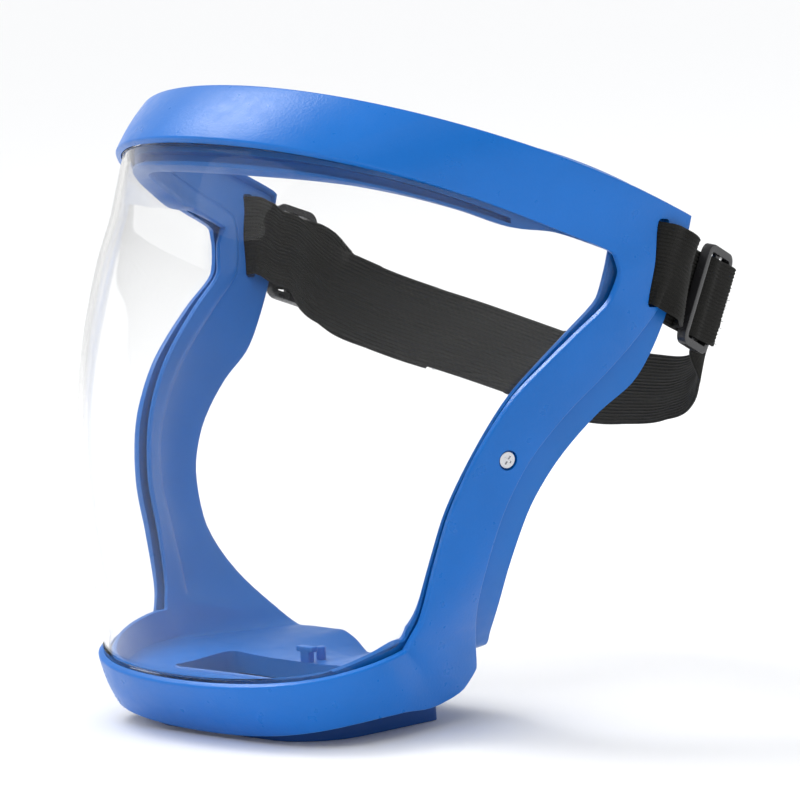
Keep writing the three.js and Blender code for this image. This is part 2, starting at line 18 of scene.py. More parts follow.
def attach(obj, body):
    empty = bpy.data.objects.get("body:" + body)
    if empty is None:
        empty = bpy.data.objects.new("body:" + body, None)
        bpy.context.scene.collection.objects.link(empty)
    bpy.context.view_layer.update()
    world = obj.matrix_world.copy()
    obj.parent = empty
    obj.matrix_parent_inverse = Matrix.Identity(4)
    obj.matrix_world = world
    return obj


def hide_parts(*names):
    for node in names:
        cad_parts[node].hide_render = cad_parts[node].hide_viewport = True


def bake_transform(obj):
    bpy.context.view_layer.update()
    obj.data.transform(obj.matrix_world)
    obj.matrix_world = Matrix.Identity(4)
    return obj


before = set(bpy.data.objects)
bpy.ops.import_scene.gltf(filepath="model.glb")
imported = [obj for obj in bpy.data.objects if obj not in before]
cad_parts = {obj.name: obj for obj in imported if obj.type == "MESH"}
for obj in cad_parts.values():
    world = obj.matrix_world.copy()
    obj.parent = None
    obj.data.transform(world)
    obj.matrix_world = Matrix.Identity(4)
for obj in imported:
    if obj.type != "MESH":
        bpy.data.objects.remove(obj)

logging.basicConfig(level=logging.INFO, format="%(message)s")
log = logging.getLogger("shield")

MM = 0.001
ORIGIN = np.array([0.0, 3.0, 1.6])  # the part's origin in the coordinates of the edge curves
FINE = 5  # how many spans the smooth surfaces put between two stations
LEAST_BEND = 0.15  # the share of its tangent that the sharpest corner keeps
Point = tuple[float, float, float]


class Side(Enum):
    """The wearer's side, as the sign of X."""

    LEFT = 1
    RIGHT = -1


class Zone(Enum):
    """Where a station of the frame lies."""

    BROW = "brow"
    CHEEK = "cheek"
    CHIN = "chin"


# ---- Small helpers ----
def unit(v: np.ndarray) -> np.ndarray:
    """Returns the vectors of the last axis at length one."""
    return v / np.maximum(np.linalg.norm(v, axis=-1, keepdims=True), 1e-12)


def bezier(points: tuple[Point, ...], t: float) -> np.ndarray:
    """Returns the point of a cubic Bezier curve.

    Args:
        points: The four control points.
        t: Place on the curve, 0 to 1.

    Returns:
        The point.
    """
    a, b, c, d = (np.array(p, float) for p in points)
    s = 1 - t
    return a * s ** 3 + 3 * b * s * s * t + 3 * c * s * t * t + d * t ** 3


def smooth_run(rows: np.ndarray, per_span: int, closed: bool, crisp: bool = False) -> np.ndarray:
    """Fits a smooth curve through rows of points and samples it.

    Args:
        rows: Array of shape (stations, ...) to interpolate along its first axis.
        per_span: Samples for each span between stations.
        closed: Whether the last station joins the first.
        crisp: Whether a point that turns sharply keeps its corner, so that its curve can't overshoot.

    Returns:
        The sampled array, which keeps the last station when the run is open.
    """
    flat = rows.reshape(len(rows), -1)
    if closed:
        flat = np.vstack([flat[-1:], flat, flat[:2]])
    else:
        flat = np.vstack([2 * flat[:1] - flat[1:2], flat, 2 * flat[-1:] - flat[-2:-1]])
    step = np.linalg.norm(np.diff(flat, axis=0), axis=1) + 1e-9
    slope = np.diff(flat, axis=0) / step[:, None]
    tangent = (slope[:-1] * step[1:, None] + slope[1:] * step[:-1, None]) / (step[1:] + step[:-1])[:, None]
    if crisp:
        ways = unit(np.diff(flat, axis=0).reshape(len(step), -1, 3))
        turn = np.sum(ways[:-1] * ways[1:], axis=-1, keepdims=True)
        bend = np.clip(turn, LEAST_BEND, 1) ** 2
        tangent = (tangent.reshape(len(tangent), -1, 3) * bend).reshape(tangent.shape)
    out = []
    for i in range(len(tangent) - 1):
        p, q, h = flat[i + 1], flat[i + 2], step[i + 1]
        for k in range(per_span):
            t = k / per_span
            out.append((2 * t ** 3 - 3 * t * t + 1) * p + (t ** 3 - 2 * t * t + t) * h * tangent[i]
                       + (3 * t * t - 2 * t ** 3) * q + (t ** 3 - t * t) * h * tangent[i + 1])
    if not closed:
        out.append(flat[-2])
    return np.array(out).reshape(-1, *rows.shape[1:])


def deselect() -> None:
    """Clears the selection, so that an operator acts on one piece only."""
    if bpy.context.object and bpy.context.object.mode != "OBJECT":
        bpy.ops.object.mode_set(mode="OBJECT")
    bpy.ops.object.select_all(action="DESELECT")


def activate(piece: bpy.types.Object) -> None:
    """Makes one piece the active and only selected object.

    Args:
        piece: The object.
    """
    deselect()
    piece.select_set(True)
    bpy.context.view_layer.objects.active = piece


def finish_with(piece: bpy.types.Object, kind: str, **settings: object) -> None:
    """Adds a modifier with its settings and applies it.

    Args:
        piece: The object to change.
        kind: The modifier's type, such as BEVEL.
        settings: Its properties by name.
    """
    activate(piece)
    bpy.ops.object.modifier_add(type=kind)
    modifier = piece.modifiers[-1]
    for key, value in settings.items():
        setattr(modifier, key, value)
    bpy.ops.object.modifier_apply(modifier=modifier.name)


def smooth(piece: bpy.types.Object, degrees: float = 38) -> None:
    """Shades a piece smooth, except over edges sharper than the angle."""
    activate(piece)
    bpy.ops.object.shade_smooth_by_angle(angle=math.radians(degrees))


def edit(piece: bpy.types.Object, *steps: tuple[str, dict]) -> None:
    """Runs mesh operators on the whole piece in edit mode.

    Args:
        piece: The object to edit.
        steps: Operator names of bpy.ops.mesh with their settings.
    """
    activate(piece)
    bpy.ops.object.mode_set(mode="EDIT")
    bpy.ops.mesh.select_all(action="SELECT")
    for name, settings in steps:
        getattr(bpy.ops.mesh, name)(**settings)
    bpy.ops.object.mode_set(mode="OBJECT")


def mesh_piece(name: str, points: np.ndarray, faces: list[tuple[int, ...]]) -> bpy.types.Object:
    """Makes a mesh object from points in millimetres of the edge curves' coordinates.

    Args:
        name: The piece's name.
        points: Array of shape (n, 3).
        faces: Corner indices of each face.

    Returns:
        The new object, with its place in its mesh and its faces outward.
    """
    mesh = bpy.data.meshes.new(name)
    mesh.from_pydata(((points - ORIGIN) * MM).tolist(), [], faces)
    piece = bpy.data.objects.new(name, mesh)
    bpy.context.scene.collection.objects.link(piece)
    edit(piece, ("remove_doubles", {"threshold": 1e-6}), ("normals_make_consistent", {"inside": False}))
    return piece


def loft_faces(sections: int, count: int, ring: bool) -> list[tuple[int, ...]]:
    """Returns the faces of a skin over closed sections.

    Args:
        sections: How many sections there are.
        count: Points in each section.
        ring: Whether the last section joins the first; if not, the ends are capped.

    Returns:
        The corner indices of each face.
    """
    faces: list[tuple[int, ...]] = []
    for i in range(sections if ring else sections - 1):
        here, there = i * count, ((i + 1) % sections) * count
        for k in range(count):
            j = (k + 1) % count
            faces.append((here + k, here + j, there + j, there + k))
    if not ring:
        faces.append(tuple(range(count))[::-1])
        faces.append(tuple(range((sections - 1) * count, sections * count)))
    return faces


def place(piece: bpy.types.Object, x: np.ndarray, y: np.ndarray, z: np.ndarray, at: np.ndarray) -> None:
    """Moves a piece made at the origin in metres onto axes and a point in millimetres.

    Args:
        piece: The object, whose mesh is changed.
        x: Direction of its own X.
        y: Direction of its own Y.
        z: Direction of its own Z.
        at: Where its origin goes, in the edge curves' coordinates.
    """
    matrix = Matrix(np.column_stack([x, y, z]).tolist()).to_4x4()
    matrix.translation = Vector((at - ORIGIN) * MM)
    piece.data.transform(piece.matrix_world)
    piece.matrix_world = Matrix.Identity(4)
    piece.data.transform(matrix)


def cube(name: str, size: Point, at: Point = (0, 0, 0)) -> bpy.types.Object:
    """Adds a box, ready to be shaped.

    Args:
        name: The box's name.
        size: Its lengths along X, Y and Z in millimetres.
        at: Its middle in millimetres.

    Returns:
        The new object.
    """
    deselect()
    bpy.ops.mesh.primitive_cube_add(size=1, location=[c * MM for c in at], scale=[s * MM for s in size])
    bpy.ops.object.transform_apply(location=True, rotation=True, scale=True)
    bpy.context.object.name = name
    return bpy.context.object


def cylinder(name: str, radius: float, height: float, at: Point = (0, 0, 0),
             sides: int = 40) -> bpy.types.Object:
    """Adds an upright cylinder, ready to be shaped.

    Args:
        name: The cylinder's name.
        radius: Its radius in millimetres.
        height: Its height in millimetres.
        at: Its middle in millimetres.
        sides: How many sides its circle has.

    Returns:
        The new object.
    """
    deselect()
    bpy.ops.mesh.primitive_cylinder_add(vertices=sides, radius=radius * MM, depth=height * MM,
                                        location=[c * MM for c in at])
    bpy.ops.object.transform_apply(location=True, rotation=True, scale=True)
    bpy.context.object.name = name
    return bpy.context.object


def carve(piece: bpy.types.Object, cutter: bpy.types.Object, kind: str = "DIFFERENCE") -> None:
    """Cuts a piece with another, or joins it on, and removes the tool."""
    finish_with(piece, "BOOLEAN", operation=kind, object=cutter, solver="EXACT")
    bpy.data.objects.remove(cutter)


def mirrored(piece: bpy.types.Object, name: str) -> bpy.types.Object:
    """Copies a piece with its own mesh to the wearer's other side.

    Args:
        piece: The object to copy.
        name: The copy's name.

    Returns:
        The mirrored copy, with its faces outward.
    """
    twin = piece.copy()
    twin.data = piece.data.copy()
    twin.name = name
    bpy.context.scene.collection.objects.link(twin)
    twin.data.transform(Matrix.Scale(-1, 4, (1, 0, 0)))
    twin.data.flip_normals()
    return twin


# ---- Finishes ----
class Shader:
    """A material under construction, with short ways to add and link nodes."""

    def __init__(self, name: str) -> None:
        """Starts a node material with one Principled shader.

        Args:
            name: The material's name.
        """
        self.material = bpy.data.materials.new(name)
        self.material.use_nodes = True
        self.tree = self.material.node_tree
        self.shader = self.tree.nodes["Principled BSDF"]

    def add(self, kind: str, inputs: dict | None = None, **settings: object) -> bpy.types.Node:
        """Adds a node.

        Args:
            kind: The node's type.
            inputs: Its sockets by name, as values or as other nodes' outputs to link.
            settings: Its properties by name.

        Returns:
            The new node.
        """
        node = self.tree.nodes.new(kind)
        for key, value in settings.items():
            setattr(node, key, value)
        for key, value in (inputs or {}).items():
            if isinstance(value, bpy.types.NodeSocket):
                self.tree.links.new(value, node.inputs[key])
            else:
                node.inputs[key].default_value = value
        return node

    def set(self, **values: object) -> None:
        """Sets or links sockets of the shader.

        Args:
            values: Sockets by name, with underscores for spaces, as values or as outputs to link.
        """
        for key, value in values.items():
            socket = self.shader.inputs[key.replace("_", " ")]
            if isinstance(value, bpy.types.NodeSocket):
                self.tree.links.new(value, socket)
            else:
                socket.default_value = value

    def place(self) -> bpy.types.NodeSocket:
        """Returns the object's own coordinates."""
        return self.add("ShaderNodeTexCoord").outputs["Object"]

    def noise(self, at: bpy.types.NodeSocket, scale: float, detail: float = 3) -> bpy.types.NodeSocket:
        """Returns a noise pattern of a scale in turns per metre."""
        return self.add("ShaderNodeTexNoise", {"Vector": at, "Scale": scale, "Detail": detail}).outputs["Fac"]

    def ramp(self, by: bpy.types.NodeSocket, low: tuple, high: tuple, start: float = 0.3,
             end: float = 0.7) -> bpy.types.NodeSocket:
        """Turns a pattern into a colour.

        Args:
            by: The pattern.
            low: Colour up to start.
            high: Colour from end on.
            start: Where the pattern leaves the low colour.
            end: Where the pattern reaches the high colour.

        Returns:
            The colour's socket.
        """
        node = self.add("ShaderNodeValToRGB", {"Fac": by})
        node.color_ramp.elements[0].color = low
        node.color_ramp.elements[0].position = start
        node.color_ramp.elements[1].color = high
        node.color_ramp.elements[1].position = end
        return node.outputs["Color"]

    def span(self, by: bpy.types.NodeSocket, low: float, high: float) -> bpy.types.NodeSocket:
        """Returns a value that runs from low to high with the pattern."""
        return self.add("ShaderNodeMapRange", {"Value": by, "From Min": 0.25, "From Max": 0.75,
                                               "To Min": low, "To Max": high}).outputs["Result"]

    def bump(self, height: bpy.types.NodeSocket, strength: float, depth: float,
             under: bpy.types.NodeSocket | None = None) -> bpy.types.NodeSocket:
        """Bumps the surface by a pattern.

        Args:
            height: The pattern.
            strength: How strongly it shows, 0 to 1.
            depth: Its depth in metres.
            under: A normal that it lies on top of.

        Returns:
            The new normal's socket.
        """
        inputs: dict = {"Height": height, "Strength": strength, "Distance": depth}
        if under:
            inputs["Normal"] = under
        return self.add("ShaderNodeBump", inputs).outputs["Normal"]


@dataclass(frozen=True)
class MouldedPlastic:
    """Satin moulded plastic with a pebble grain, faint flow marks and small rubs.

    Attributes:
        name: The material's name.
        colour: Its linear colour.
        roughness: Its middle roughness.
        grain: Pebbles of the grain in turns per metre.
        strength: How strongly the grain shows.
        shade: The colour's share that is left in the deepest flow mark.
        grain_depth: Depth of the grain in metres.
        flow: Flow marks in turns per metre.
        rubs: Small rubs in turns per metre.
        waves: Slow waves of the surface in turns per metre.
    """

    name: str
    colour: Point
    roughness: float
    grain: float
    strength: float
    shade: float = 0.86
    grain_depth: float = 0.00025
    flow: float = 14
    rubs: float = 160
    waves: float = 45

    def make(self) -> bpy.types.Material:
        """Builds the material.

        Returns:
            The new material.
        """
        s = Shader(self.name)
        at = s.place()
        deep = tuple(c * self.shade for c in self.colour) + (1,)
        s.set(Base_Color=s.ramp(s.noise(at, self.flow, 4), deep, (*self.colour, 1), 0.35, 0.65))
        rubs = s.noise(at, self.rubs, 6)
        s.set(Roughness=s.span(rubs, self.roughness - 0.06, self.roughness + 0.08), Specular_IOR_Level=0.36)
        pebble = s.noise(at, self.grain, 2)
        wave = s.bump(s.noise(at, self.waves, 2), 0.12, 0.0006)
        s.set(Normal=s.bump(pebble, self.strength, self.grain_depth, wave))
        return s.material


@dataclass(frozen=True)
class ClearLens:
    """Clear polycarbonate with the faintest polish marks, greyer where it is seen through its edge.

    Attributes:
        name: The material's name.
        tint: Its linear colour face on.
        rim: Its linear colour edge on.
        ior: Its bending of light, kept low so that what lies behind stays in place.
        polish: Polish marks in turns per metre.
        ripple: Slow ripples in turns per metre.
    """

    name: str = "clear_polycarbonate"
    tint: Point = (0.955, 0.956, 0.955)
    rim: Point = (0.60, 0.585, 0.56)
    ior: float = 1.3
    polish: float = 90
    ripple: float = 6

    def make(self) -> bpy.types.Material:
        """Builds the material.

        Returns:
            The new material.
        """
        s = Shader(self.name)
        at = s.place()
        facing = s.add("ShaderNodeLayerWeight", {"Blend": 0.5}).outputs["Facing"]
        s.set(Base_Color=s.ramp(facing, (*self.tint, 1), (*self.rim, 1), 0.72, 0.99))
        s.set(Transmission_Weight=1.0, IOR=self.ior, Specular_IOR_Level=0.35)
        s.set(Roughness=s.span(s.noise(at, self.polish, 5), 0.0, 0.035))
        s.set(Normal=s.bump(s.noise(at, self.ripple, 1), 0.04, 0.001))
        return s.material


@dataclass(frozen=True)
class RibbedElastic:
    """Black elastic webbing: warp ribs with a fine weft across them, lighter where the fine fibres stand high.

    Attributes:
        name: The material's name.
        low: Linear colour between the threads.
        high: Linear colour of the high threads.
        weft: Threads across the band, as a wave's scale.
        warp: Threads along the band, as a wave's scale.
        fibre: Fibres in turns per metre.
        thread_depth: Depth of the threads in metres.
    """

    name: str = "ribbed_elastic"
    low: Point = (0.005, 0.005, 0.0045)
    high: Point = (0.024, 0.0235, 0.021)
    weft: float = 420
    warp: float = 260
    fibre: float = 2600
    thread_depth: float = 0.0002

    def make(self) -> bpy.types.Material:
        """Builds the material.

        Returns:
            The new material.
        """
        s = Shader(self.name)
        uv = s.add("ShaderNodeUVMap", uv_map="along").outputs["UV"]
        weft = s.add("ShaderNodeTexWave", {"Vector": uv, "Scale": self.weft, "Distortion": 1.2, "Detail": 2.0,
                                           "Detail Scale": 2.0}, bands_direction="X")
        warp = s.add("ShaderNodeTexWave", {"Vector": uv, "Scale": self.warp, "Distortion": 0.6},
                     bands_direction="Y")
        fibre = s.noise(s.place(), self.fibre, 5)
        # The colour follows the fibre pattern that also bumps the surface: lighter where the fibres stand high,
        # darker between them.
        s.set(Base_Color=s.ramp(fibre, (*self.low, 1), (*self.high, 1), 0.35, 0.75))
        s.set(Roughness=s.span(fibre, 0.72, 0.95), Specular_IOR_Level=0.2)
        under = s.bump(warp.outputs["Fac"], 0.35, self.thread_depth)
        woven = s.bump(weft.outputs["Fac"], 0.25, self.thread_depth, under)
        s.set(Normal=s.bump(fibre, 0.12, self.thread_depth / 2, woven), Sheen_Weight=0.04, Sheen_Roughness=0.5)
        return s.material


@dataclass(frozen=True)
class PlatedSteel:
    """Bright plated steel with turning marks.

    Attributes:
        name: The material's name.
        colour: Its linear colour.
        marks: Turning marks in turns per metre.
    """

    name: str = "plated_steel"
    colour: Point = (0.62, 0.62, 0.64)
    marks: float = 1800

    def make(self) -> bpy.types.Material:
        """Builds the material.

        Returns:
            The new material.
        """
        s = Shader(self.name)
        marks = s.noise(s.place(), self.marks, 4)
        s.set(Base_Color=(*self.colour, 1), Metallic=1.0, Roughness=s.span(marks, 0.12, 0.3))
        s.set(Normal=s.bump(marks, 0.15, 0.00005))
        return s.material


@dataclass(frozen=True)
class FilterFelt:
    """Grey non-woven felt: tangled fibres with soft hollows.

    Attributes:
        name: The material's name.
        low: Linear colour between the fibres.
        high: Linear colour of the high fibres.
        fibre: Fibres in turns per metre.
        hollows: Soft hollows in turns per metre.
    """

    name: str = "filter_felt"
    low: Point = (0.12, 0.12, 0.13)
    high: Point = (0.34, 0.34, 0.35)
    fibre: float = 1500
    hollows: float = 180

    def make(self) -> bpy.types.Material:
        """Builds the material.

        Returns:
            The new material.
        """
        s = Shader(self.name)
        at = s.place()
        fibre = s.noise(at, self.fibre, 8)
        s.set(Base_Color=s.ramp(fibre, (*self.low, 1), (*self.high, 1)), Roughness=0.95)
        hollows = s.bump(s.noise(at, self.hollows, 3), 0.5, 0.0006)
        s.set(Normal=s.bump(fibre, 0.6, 0.0003, hollows), Sheen_Weight=0.2)
        return s.material


FRAME_BLUE = MouldedPlastic("outer_frame_blue", (0.002, 0.160, 0.60), 0.31, grain=950, strength=0.35)
SEAL_BLUE = MouldedPlastic("inner_frame_blue", (0.003, 0.155, 0.56), 0.4, grain=1100, strength=0.15)
# The tray's blue is the inner frame's blue darkened: painted shade under the chin.
SHADED_TRAY_BLUE = MouldedPlastic("tray_blue_painted_shade", (0.002, 0.060, 0.26), 0.45, grain=1100, strength=0.15)
BUCKLE_NYLON = MouldedPlastic("buckle_nylon", (0.022, 0.022, 0.024), 0.24, grain=700, strength=0.06)
LENS = ClearLens()
ELASTIC = RibbedElastic()
STEEL = PlatedSteel()
FELT = FilterFelt()


def dress(piece: bpy.types.Object, material: bpy.types.Material, body: str, slot: str,
          *nodes: str) -> bpy.types.Object:
    """Gives a piece its material and body, and hides the CAD nodes that it stands for.

    Args:
        piece: The finished piece.
        material: Its material.
        body: The body it rides on, or an empty string when it runs between two and rides on none.
        slot: The record's material slot; not used.
        nodes: CAD nodes that it replaces.

    Returns:
        The piece.
    """
    piece.data.materials.clear()
    piece.data.materials.append(material)
    if body:
        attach(piece, body)
    if nodes:
        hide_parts(*nodes)
    log.info("%s: %d faces", piece.name, len(piece.data.polygons))
    return piece


# ---- Edge curves ----
@dataclass
class Stations:
    """Rails of the shield, from the middle of the brow round the wearer's left to the chin and back.

    The curves repeat the part's own: the window edge, the rear edge of the outer frame, and on the cheeks
    the face edge of the inner frame.
    """

    steps: int = 8
    brow_window: tuple[Point, ...] = ((0, -70, 216.5), (76.5, -70, 216.5), (94, -18.5, 193),
                                      (108.7, 31, 168.5))
    brow_top: tuple[Point, ...] = ((0, -47, 233.5), (73.5, -47, 233.5), (123, -0.5, 209), (113.3, 66, 179))
    chin_window: tuple[Point, ...] = ((0, -92.4, 22.6), (45.5, -92.4, 22.6), (76.5, -77.5, 28), (68, -42, 33))
    chin_bottom: tuple[Point, ...] = ((0, -77.3, 2.6), (50.3, -77.3, 2.6), (74.3, -80.8, 13),
                                      (62, -21.4, 9.7))
    cheek: tuple[tuple[Point, Point, Point], ...] = (
        ((109.5, 32.5, 162), (112.3, 63, 168), (109.2, 65, 166)),
        ((107, 29, 152), (109.6, 56.5, 153), (106.6, 61.5, 152)),
        ((104.5, 14.5, 142), (107.5, 42, 138), (104.6, 52, 133)),
        ((101.3, 0.7, 132), (105, 27, 126), (102.6, 42.5, 121)),
        ((97.6, -11.3, 122), (102, 12, 115), (99.6, 28, 112)),
        ((91.5, -25.7, 102), (97, -5, 98), (94.6, 10.5, 96)),
        ((84.5, -33, 82), (91.5, -13, 81), (89.4, 1.8, 81)),
        ((77.6, -35.2, 62), (83, -14.5, 61), (81.2, -1.3, 61)),
        ((71.8, -37.5, 42), (69.5, -8, 40), (67.4, 4, 41)),
        ((70.2, -39.3, 38), (63, -2.5, 30), (58.5, 9, 32)),
        ((69.4, -40.5, 36), (61.6, -1.3, 20), (52, 13, 26)),
        ((68.8, -41.2, 34.5), (61.4, -8, 13.4), (48, 13, 24.5)))
    chin_folds: tuple[Point, ...] = ((58.5, -6, 31), (57.5, -9, 28), (56.4, -12, 25.5))
    chin_face: Point = (46, 13, 15)  # the outer end of the chin's face edge, before its rise
    chin_face_rise: float = 9
    chin_fold: Point = (55, -15, 20)
    chin_fold_rise: float = 4
    inside: Point = (0, 10, 115)
    zone: list[Zone] = field(default_factory=list)
    t: list[float] = field(default_factory=list)

    def __post_init__(self) -> None:
        """Lays out the ring of stations with its directions."""
        window, rear, face, fold = [], [], [], []
        none = np.full(3, np.nan)
        for i in range(self.steps + 1):
            t = i / self.steps
            self._note(Zone.BROW, t)
            window.append(bezier(self.brow_window, t))
            rear.append(bezier(self.brow_top, t))
            face.append(none)
            fold.append(none)
        first_fold = len(self.cheek) - len(self.chin_folds)
        for i, (edge, back, skin) in enumerate(self.cheek):
            self._note(Zone.CHEEK, i / (len(self.cheek) - 1))
            window.append(np.array(edge, float))
            rear.append(np.array(back, float))
            face.append(np.array(skin, float))
            fold.append(np.array(self.chin_folds[i - first_fold], float) if i >= first_fold else none)
        for i in range(self.steps, -1, -1):
            t = i / self.steps
            self._note(Zone.CHIN, t)
            window.append(bezier(self.chin_window, t))
            rear.append(bezier(self.chin_bottom, t))
            x, y, z = self.chin_face
            rise = min(max((x * t - 4) / 20, 0), 1)
            face.append(np.array([x * t, y, z + self.chin_face_rise * rise * rise * (3 - 2 * rise)]))
            x, y, z = self.chin_fold
            fold.append(np.array([x * t, y, z + self.chin_fold_rise * t * t]))
        self.zone += self.zone[-2:0:-1]
        self.t += self.t[-2:0:-1]
        flip = np.array([-1, 1, 1])
        self.window, self.rear, self.face, self.fold = (
            np.array(rows + [r * flip for r in rows[-2:0:-1]]) for rows in (window, rear, face, fold))
        middle = (self.window + self.rear) / 2
        self.along = unit(np.roll(middle, -1, 0) - np.roll(middle, 1, 0))
        self.across = unit(self.rear - self.window)
        self.normal = unit(np.cross(self.across, self.along))
        inward = np.sum(self.normal * (middle - np.array(self.inside)), axis=1) < 0
        self.normal[inward] *= -1

    def _note(self, zone: Zone, t: float) -> None:
        """Records the zone and the place of one station."""
        self.zone.append(zone)
        self.t.append(t)

    @property
    def count(self) -> int:
        """Number of stations round the ring."""
        return len(self.window)

    def width(self, i: int) -> float:
        """Breadth of the outer frame at a station."""
        return float(np.linalg.norm(self.rear[i] - self.window[i]))

    def under(self, i: int, distance: float, depth: float) -> np.ndarray:
        """Point across the frame from the window edge, at a depth under its outer face."""
        return self.window[i] + self.across[i] * distance - self.normal[i] * depth


STATIONS = Stations()


# ---- The clear dome ----
@dataclass
class Visor:
    """The domed lens: a smooth grid over the window, with a skirt that runs behind the frame."""

    depth: float = 2.85
    wall: float = 2.0
    lap: float = 8.0
    profile: tuple[Point, ...] = ((0, -70, 216.5), (0, -89, 182), (0, -98.5, 142), (0, -102, 102),
                                  (0, -103, 66), (0, -92.4, 22.6))
    brow_run: Point = (-15, -50, 24.5)
    chin_run: Point = (8.5, -35.5, -5)
    reach: Point = (0.70, 0.03, 0.35)  # flat middle as a share of the half width: brow, loss to chin, waist
    fine: int = 40

    def middle(self, z: float) -> np.ndarray:
        """Finds the dome's profile.

        Args:
            z: The height.

        Returns:
            The profile's point at that height.
        """
        fine = smooth_run(np.array(self.profile, float), self.fine, False)
        order = np.argsort(fine[:, 2])
        return np.array([0, np.interp(z, fine[order, 2], fine[order, 1]), z])

    def arc(self, edge: np.ndarray, f: float, columns: int) -> np.ndarray:
        """Returns half a row of the dome, from the middle to the window edge.

        Args:
            edge: The row's end on the window edge.
            f: How far down the row is, 0 to 1.
            columns: Spans of the half row.

        Returns:
            The points of the half row.
        """
        top, bottom = self.profile[0][2], self.profile[-1][2]
        middle = self.middle(top + (bottom - top) * f)
        share, fall, waist = self.reach
        reach = edge[0] * (share - fall * f - waist * f * (1 - f))
        run = np.array(self.brow_run) * (1 - f) + np.array(self.chin_run) * f
        control = (tuple(middle), (reach, middle[1], middle[2]), tuple(edge + run), tuple(edge))
        return np.array([bezier(control, i / columns) for i in range(columns + 1)])

    def grid(self, fine: int) -> np.ndarray:
        """Lays out the dome's outer face.

        Args:
            fine: Spans between two stations.

        Returns:
            Points as an array of rows and columns.
        """
        ring = smooth_run(STATIONS.window, fine, True, True)
        first, last = STATIONS.steps * fine, (STATIONS.count // 2 - STATIONS.steps) * fine
        top, bottom = ring[first, 2], ring[last, 2]
        rows = []
        for i in range(first, last + 1):
            half = self.arc(ring[i], (top - ring[i, 2]) / (top - bottom), STATIONS.steps * fine)
            rows.append(np.vstack([half[:0:-1] * np.array([-1, 1, 1]), half]))
        return np.array(rows)

    def border(self, rows: int, columns: int, fine: int) -> dict[tuple[int, int], int]:
        """Maps the grid's border to the ring.

        Args:
            rows: Spans down the grid.
            columns: Spans across it.
            fine: Spans between two stations.

        Returns:
            The fine station of each border place.
        """
        ring, half = STATIONS.count * fine, columns // 2
        low = STATIONS.count // 2 * fine
        found: dict[tuple[int, int], int] = {}
        for c in range(columns + 1):
            found[0, c] = (c - half) % ring
            found[rows, c] = (low - (c - half)) % ring
        for r in range(1, rows):
            found[r, columns] = half + r
            found[r, 0] = (-half - r) % ring
        return found

    def normals(self, grid: np.ndarray) -> np.ndarray:
        """Finds which way is out.

        Args:
            grid: The dome's points.

        Returns:
            The outward direction of each point.
        """
        down = np.gradient(grid, axis=0)
        right = np.gradient(grid, axis=1)
        out = unit(np.cross(down, right))
        wrong = np.sum(out * (grid - np.array(STATIONS.inside)), axis=2) < 0
        out[wrong] *= -1
        return out

    def build(self) -> bpy.types.Object:
        """Builds the lens as one sheet and gives it its wall.

        Returns:
            The lens.
        """
        grid = self.grid(FINE)
        rows, columns = grid.shape[0] - 1, grid.shape[1] - 1
        normals = self.normals(grid)
        ring_normal = unit(smooth_run(STATIONS.normal, FINE, True))
        skirts = [smooth_run(np.array([STATIONS.under(i, d, self.depth) for i in range(STATIONS.count)]),
                             FINE, True) for d in (self.lap / 2, self.lap)]
        border = self.border(rows, columns, FINE)
        points = grid - normals * self.depth
        rim = [0] * len(ring_normal)
        for (r, c), s in border.items():
            points[r, c] = grid[r, c] - ring_normal[s] * self.depth
            rim[s] = r * (columns + 1) + c
        faces = [(r * (columns + 1) + c, (r + 1) * (columns + 1) + c, (r + 1) * (columns + 1) + c + 1,
                  r * (columns + 1) + c + 1) for r in range(rows) for c in range(columns)]
        cloud = points.reshape(-1, 3)
        loops = [rim]
        for skirt in skirts:
            loops.append(list(range(len(cloud), len(cloud) + len(skirt))))
            cloud = np.vstack([cloud, skirt])
        for inner, outer in zip(loops, loops[1:]):
            for i in range(len(inner)):
                j = (i + 1) % len(inner)
                faces.append((inner[i], inner[j], outer[j], outer[i]))
        piece = mesh_piece("visor_lens", cloud, faces)
        finish_with(piece, "SOLIDIFY", thickness=self.wall * MM, offset=-1)
        smooth(piece, 60)
        piece.visible_shadow = False
        return dress(piece, LENS.make(), "shield", "lens", "visor")


# ---- Slots, screws and buckles: places on the temples and cheeks ----
SCREW_STATION = 6  # stations down the cheek
SCREW_INSET = 12.3  # millimetres in from the window edge


@dataclass(frozen=True)
class Axes:
    """A place with its own directions, in the edge curves' coordinates."""

    at: np.ndarray
    x: np.ndarray
    y: np.ndarray
    z: np.ndarray

    def point(self, x: float, y: float, z: float) -> np.ndarray:
        """Returns a point given along the place's own directions."""
        return self.at + self.x * x + self.y * y + self.z * z

    def flipped(self) -> "Axes":
        """Returns the mirrored place on the other side, with its last direction still outward."""
        f = np.array([-1, 1, 1])
        return Axes(self.at * f, self.x * f, self.y * f, self.z * f)


def slot_axes() -> Axes:
    """Finds the left temple slot.

    Returns:
        Its place: rearward, up along the slot, and outward.
    """
    up = unit(np.array([4.9, 3.4, 29.5]))
    rear = unit(np.array([0.09, 0.977, 0.192]) - up * 0.313)
    return Axes(np.array([110.6, 50.2, 163.65]), rear, up, np.cross(rear, up))


def buckle_axes(side: Side) -> Axes:
    """Finds a buckle's middle.

    Args:
        side: The wearer's side.

    Returns:
        Its place: along the webbing, up its bars, and outward.
    """
    if side is Side.LEFT:
        at, run, up = (101.2, 83.4, 146.7), (-0.28, 0.88, -0.38), (0.078, 0.315, 0.946)
    else:
        at, run, up = (-108.6, 75, 154), (0.1, 0.9, -0.35), (-0.23, 0.35, 0.92)
    x = unit(np.array(run))
    y = unit(np.array(up) - x * float(np.dot(up, x)))
    return Axes(np.array(at, float), x, y, np.cross(x, y))


def screw_axes() -> Axes:
    """Finds the left cheek screw.

    Returns:
        Its place on the outer face, with its head outward.
    """
    i = STATIONS.steps + SCREW_STATION
    z = STATIONS.normal[i]
    x = unit(np.cross(z, STATIONS.along[i]))
    return Axes(STATIONS.under(i, SCREW_INSET, 0), x, np.cross(z, x), z)


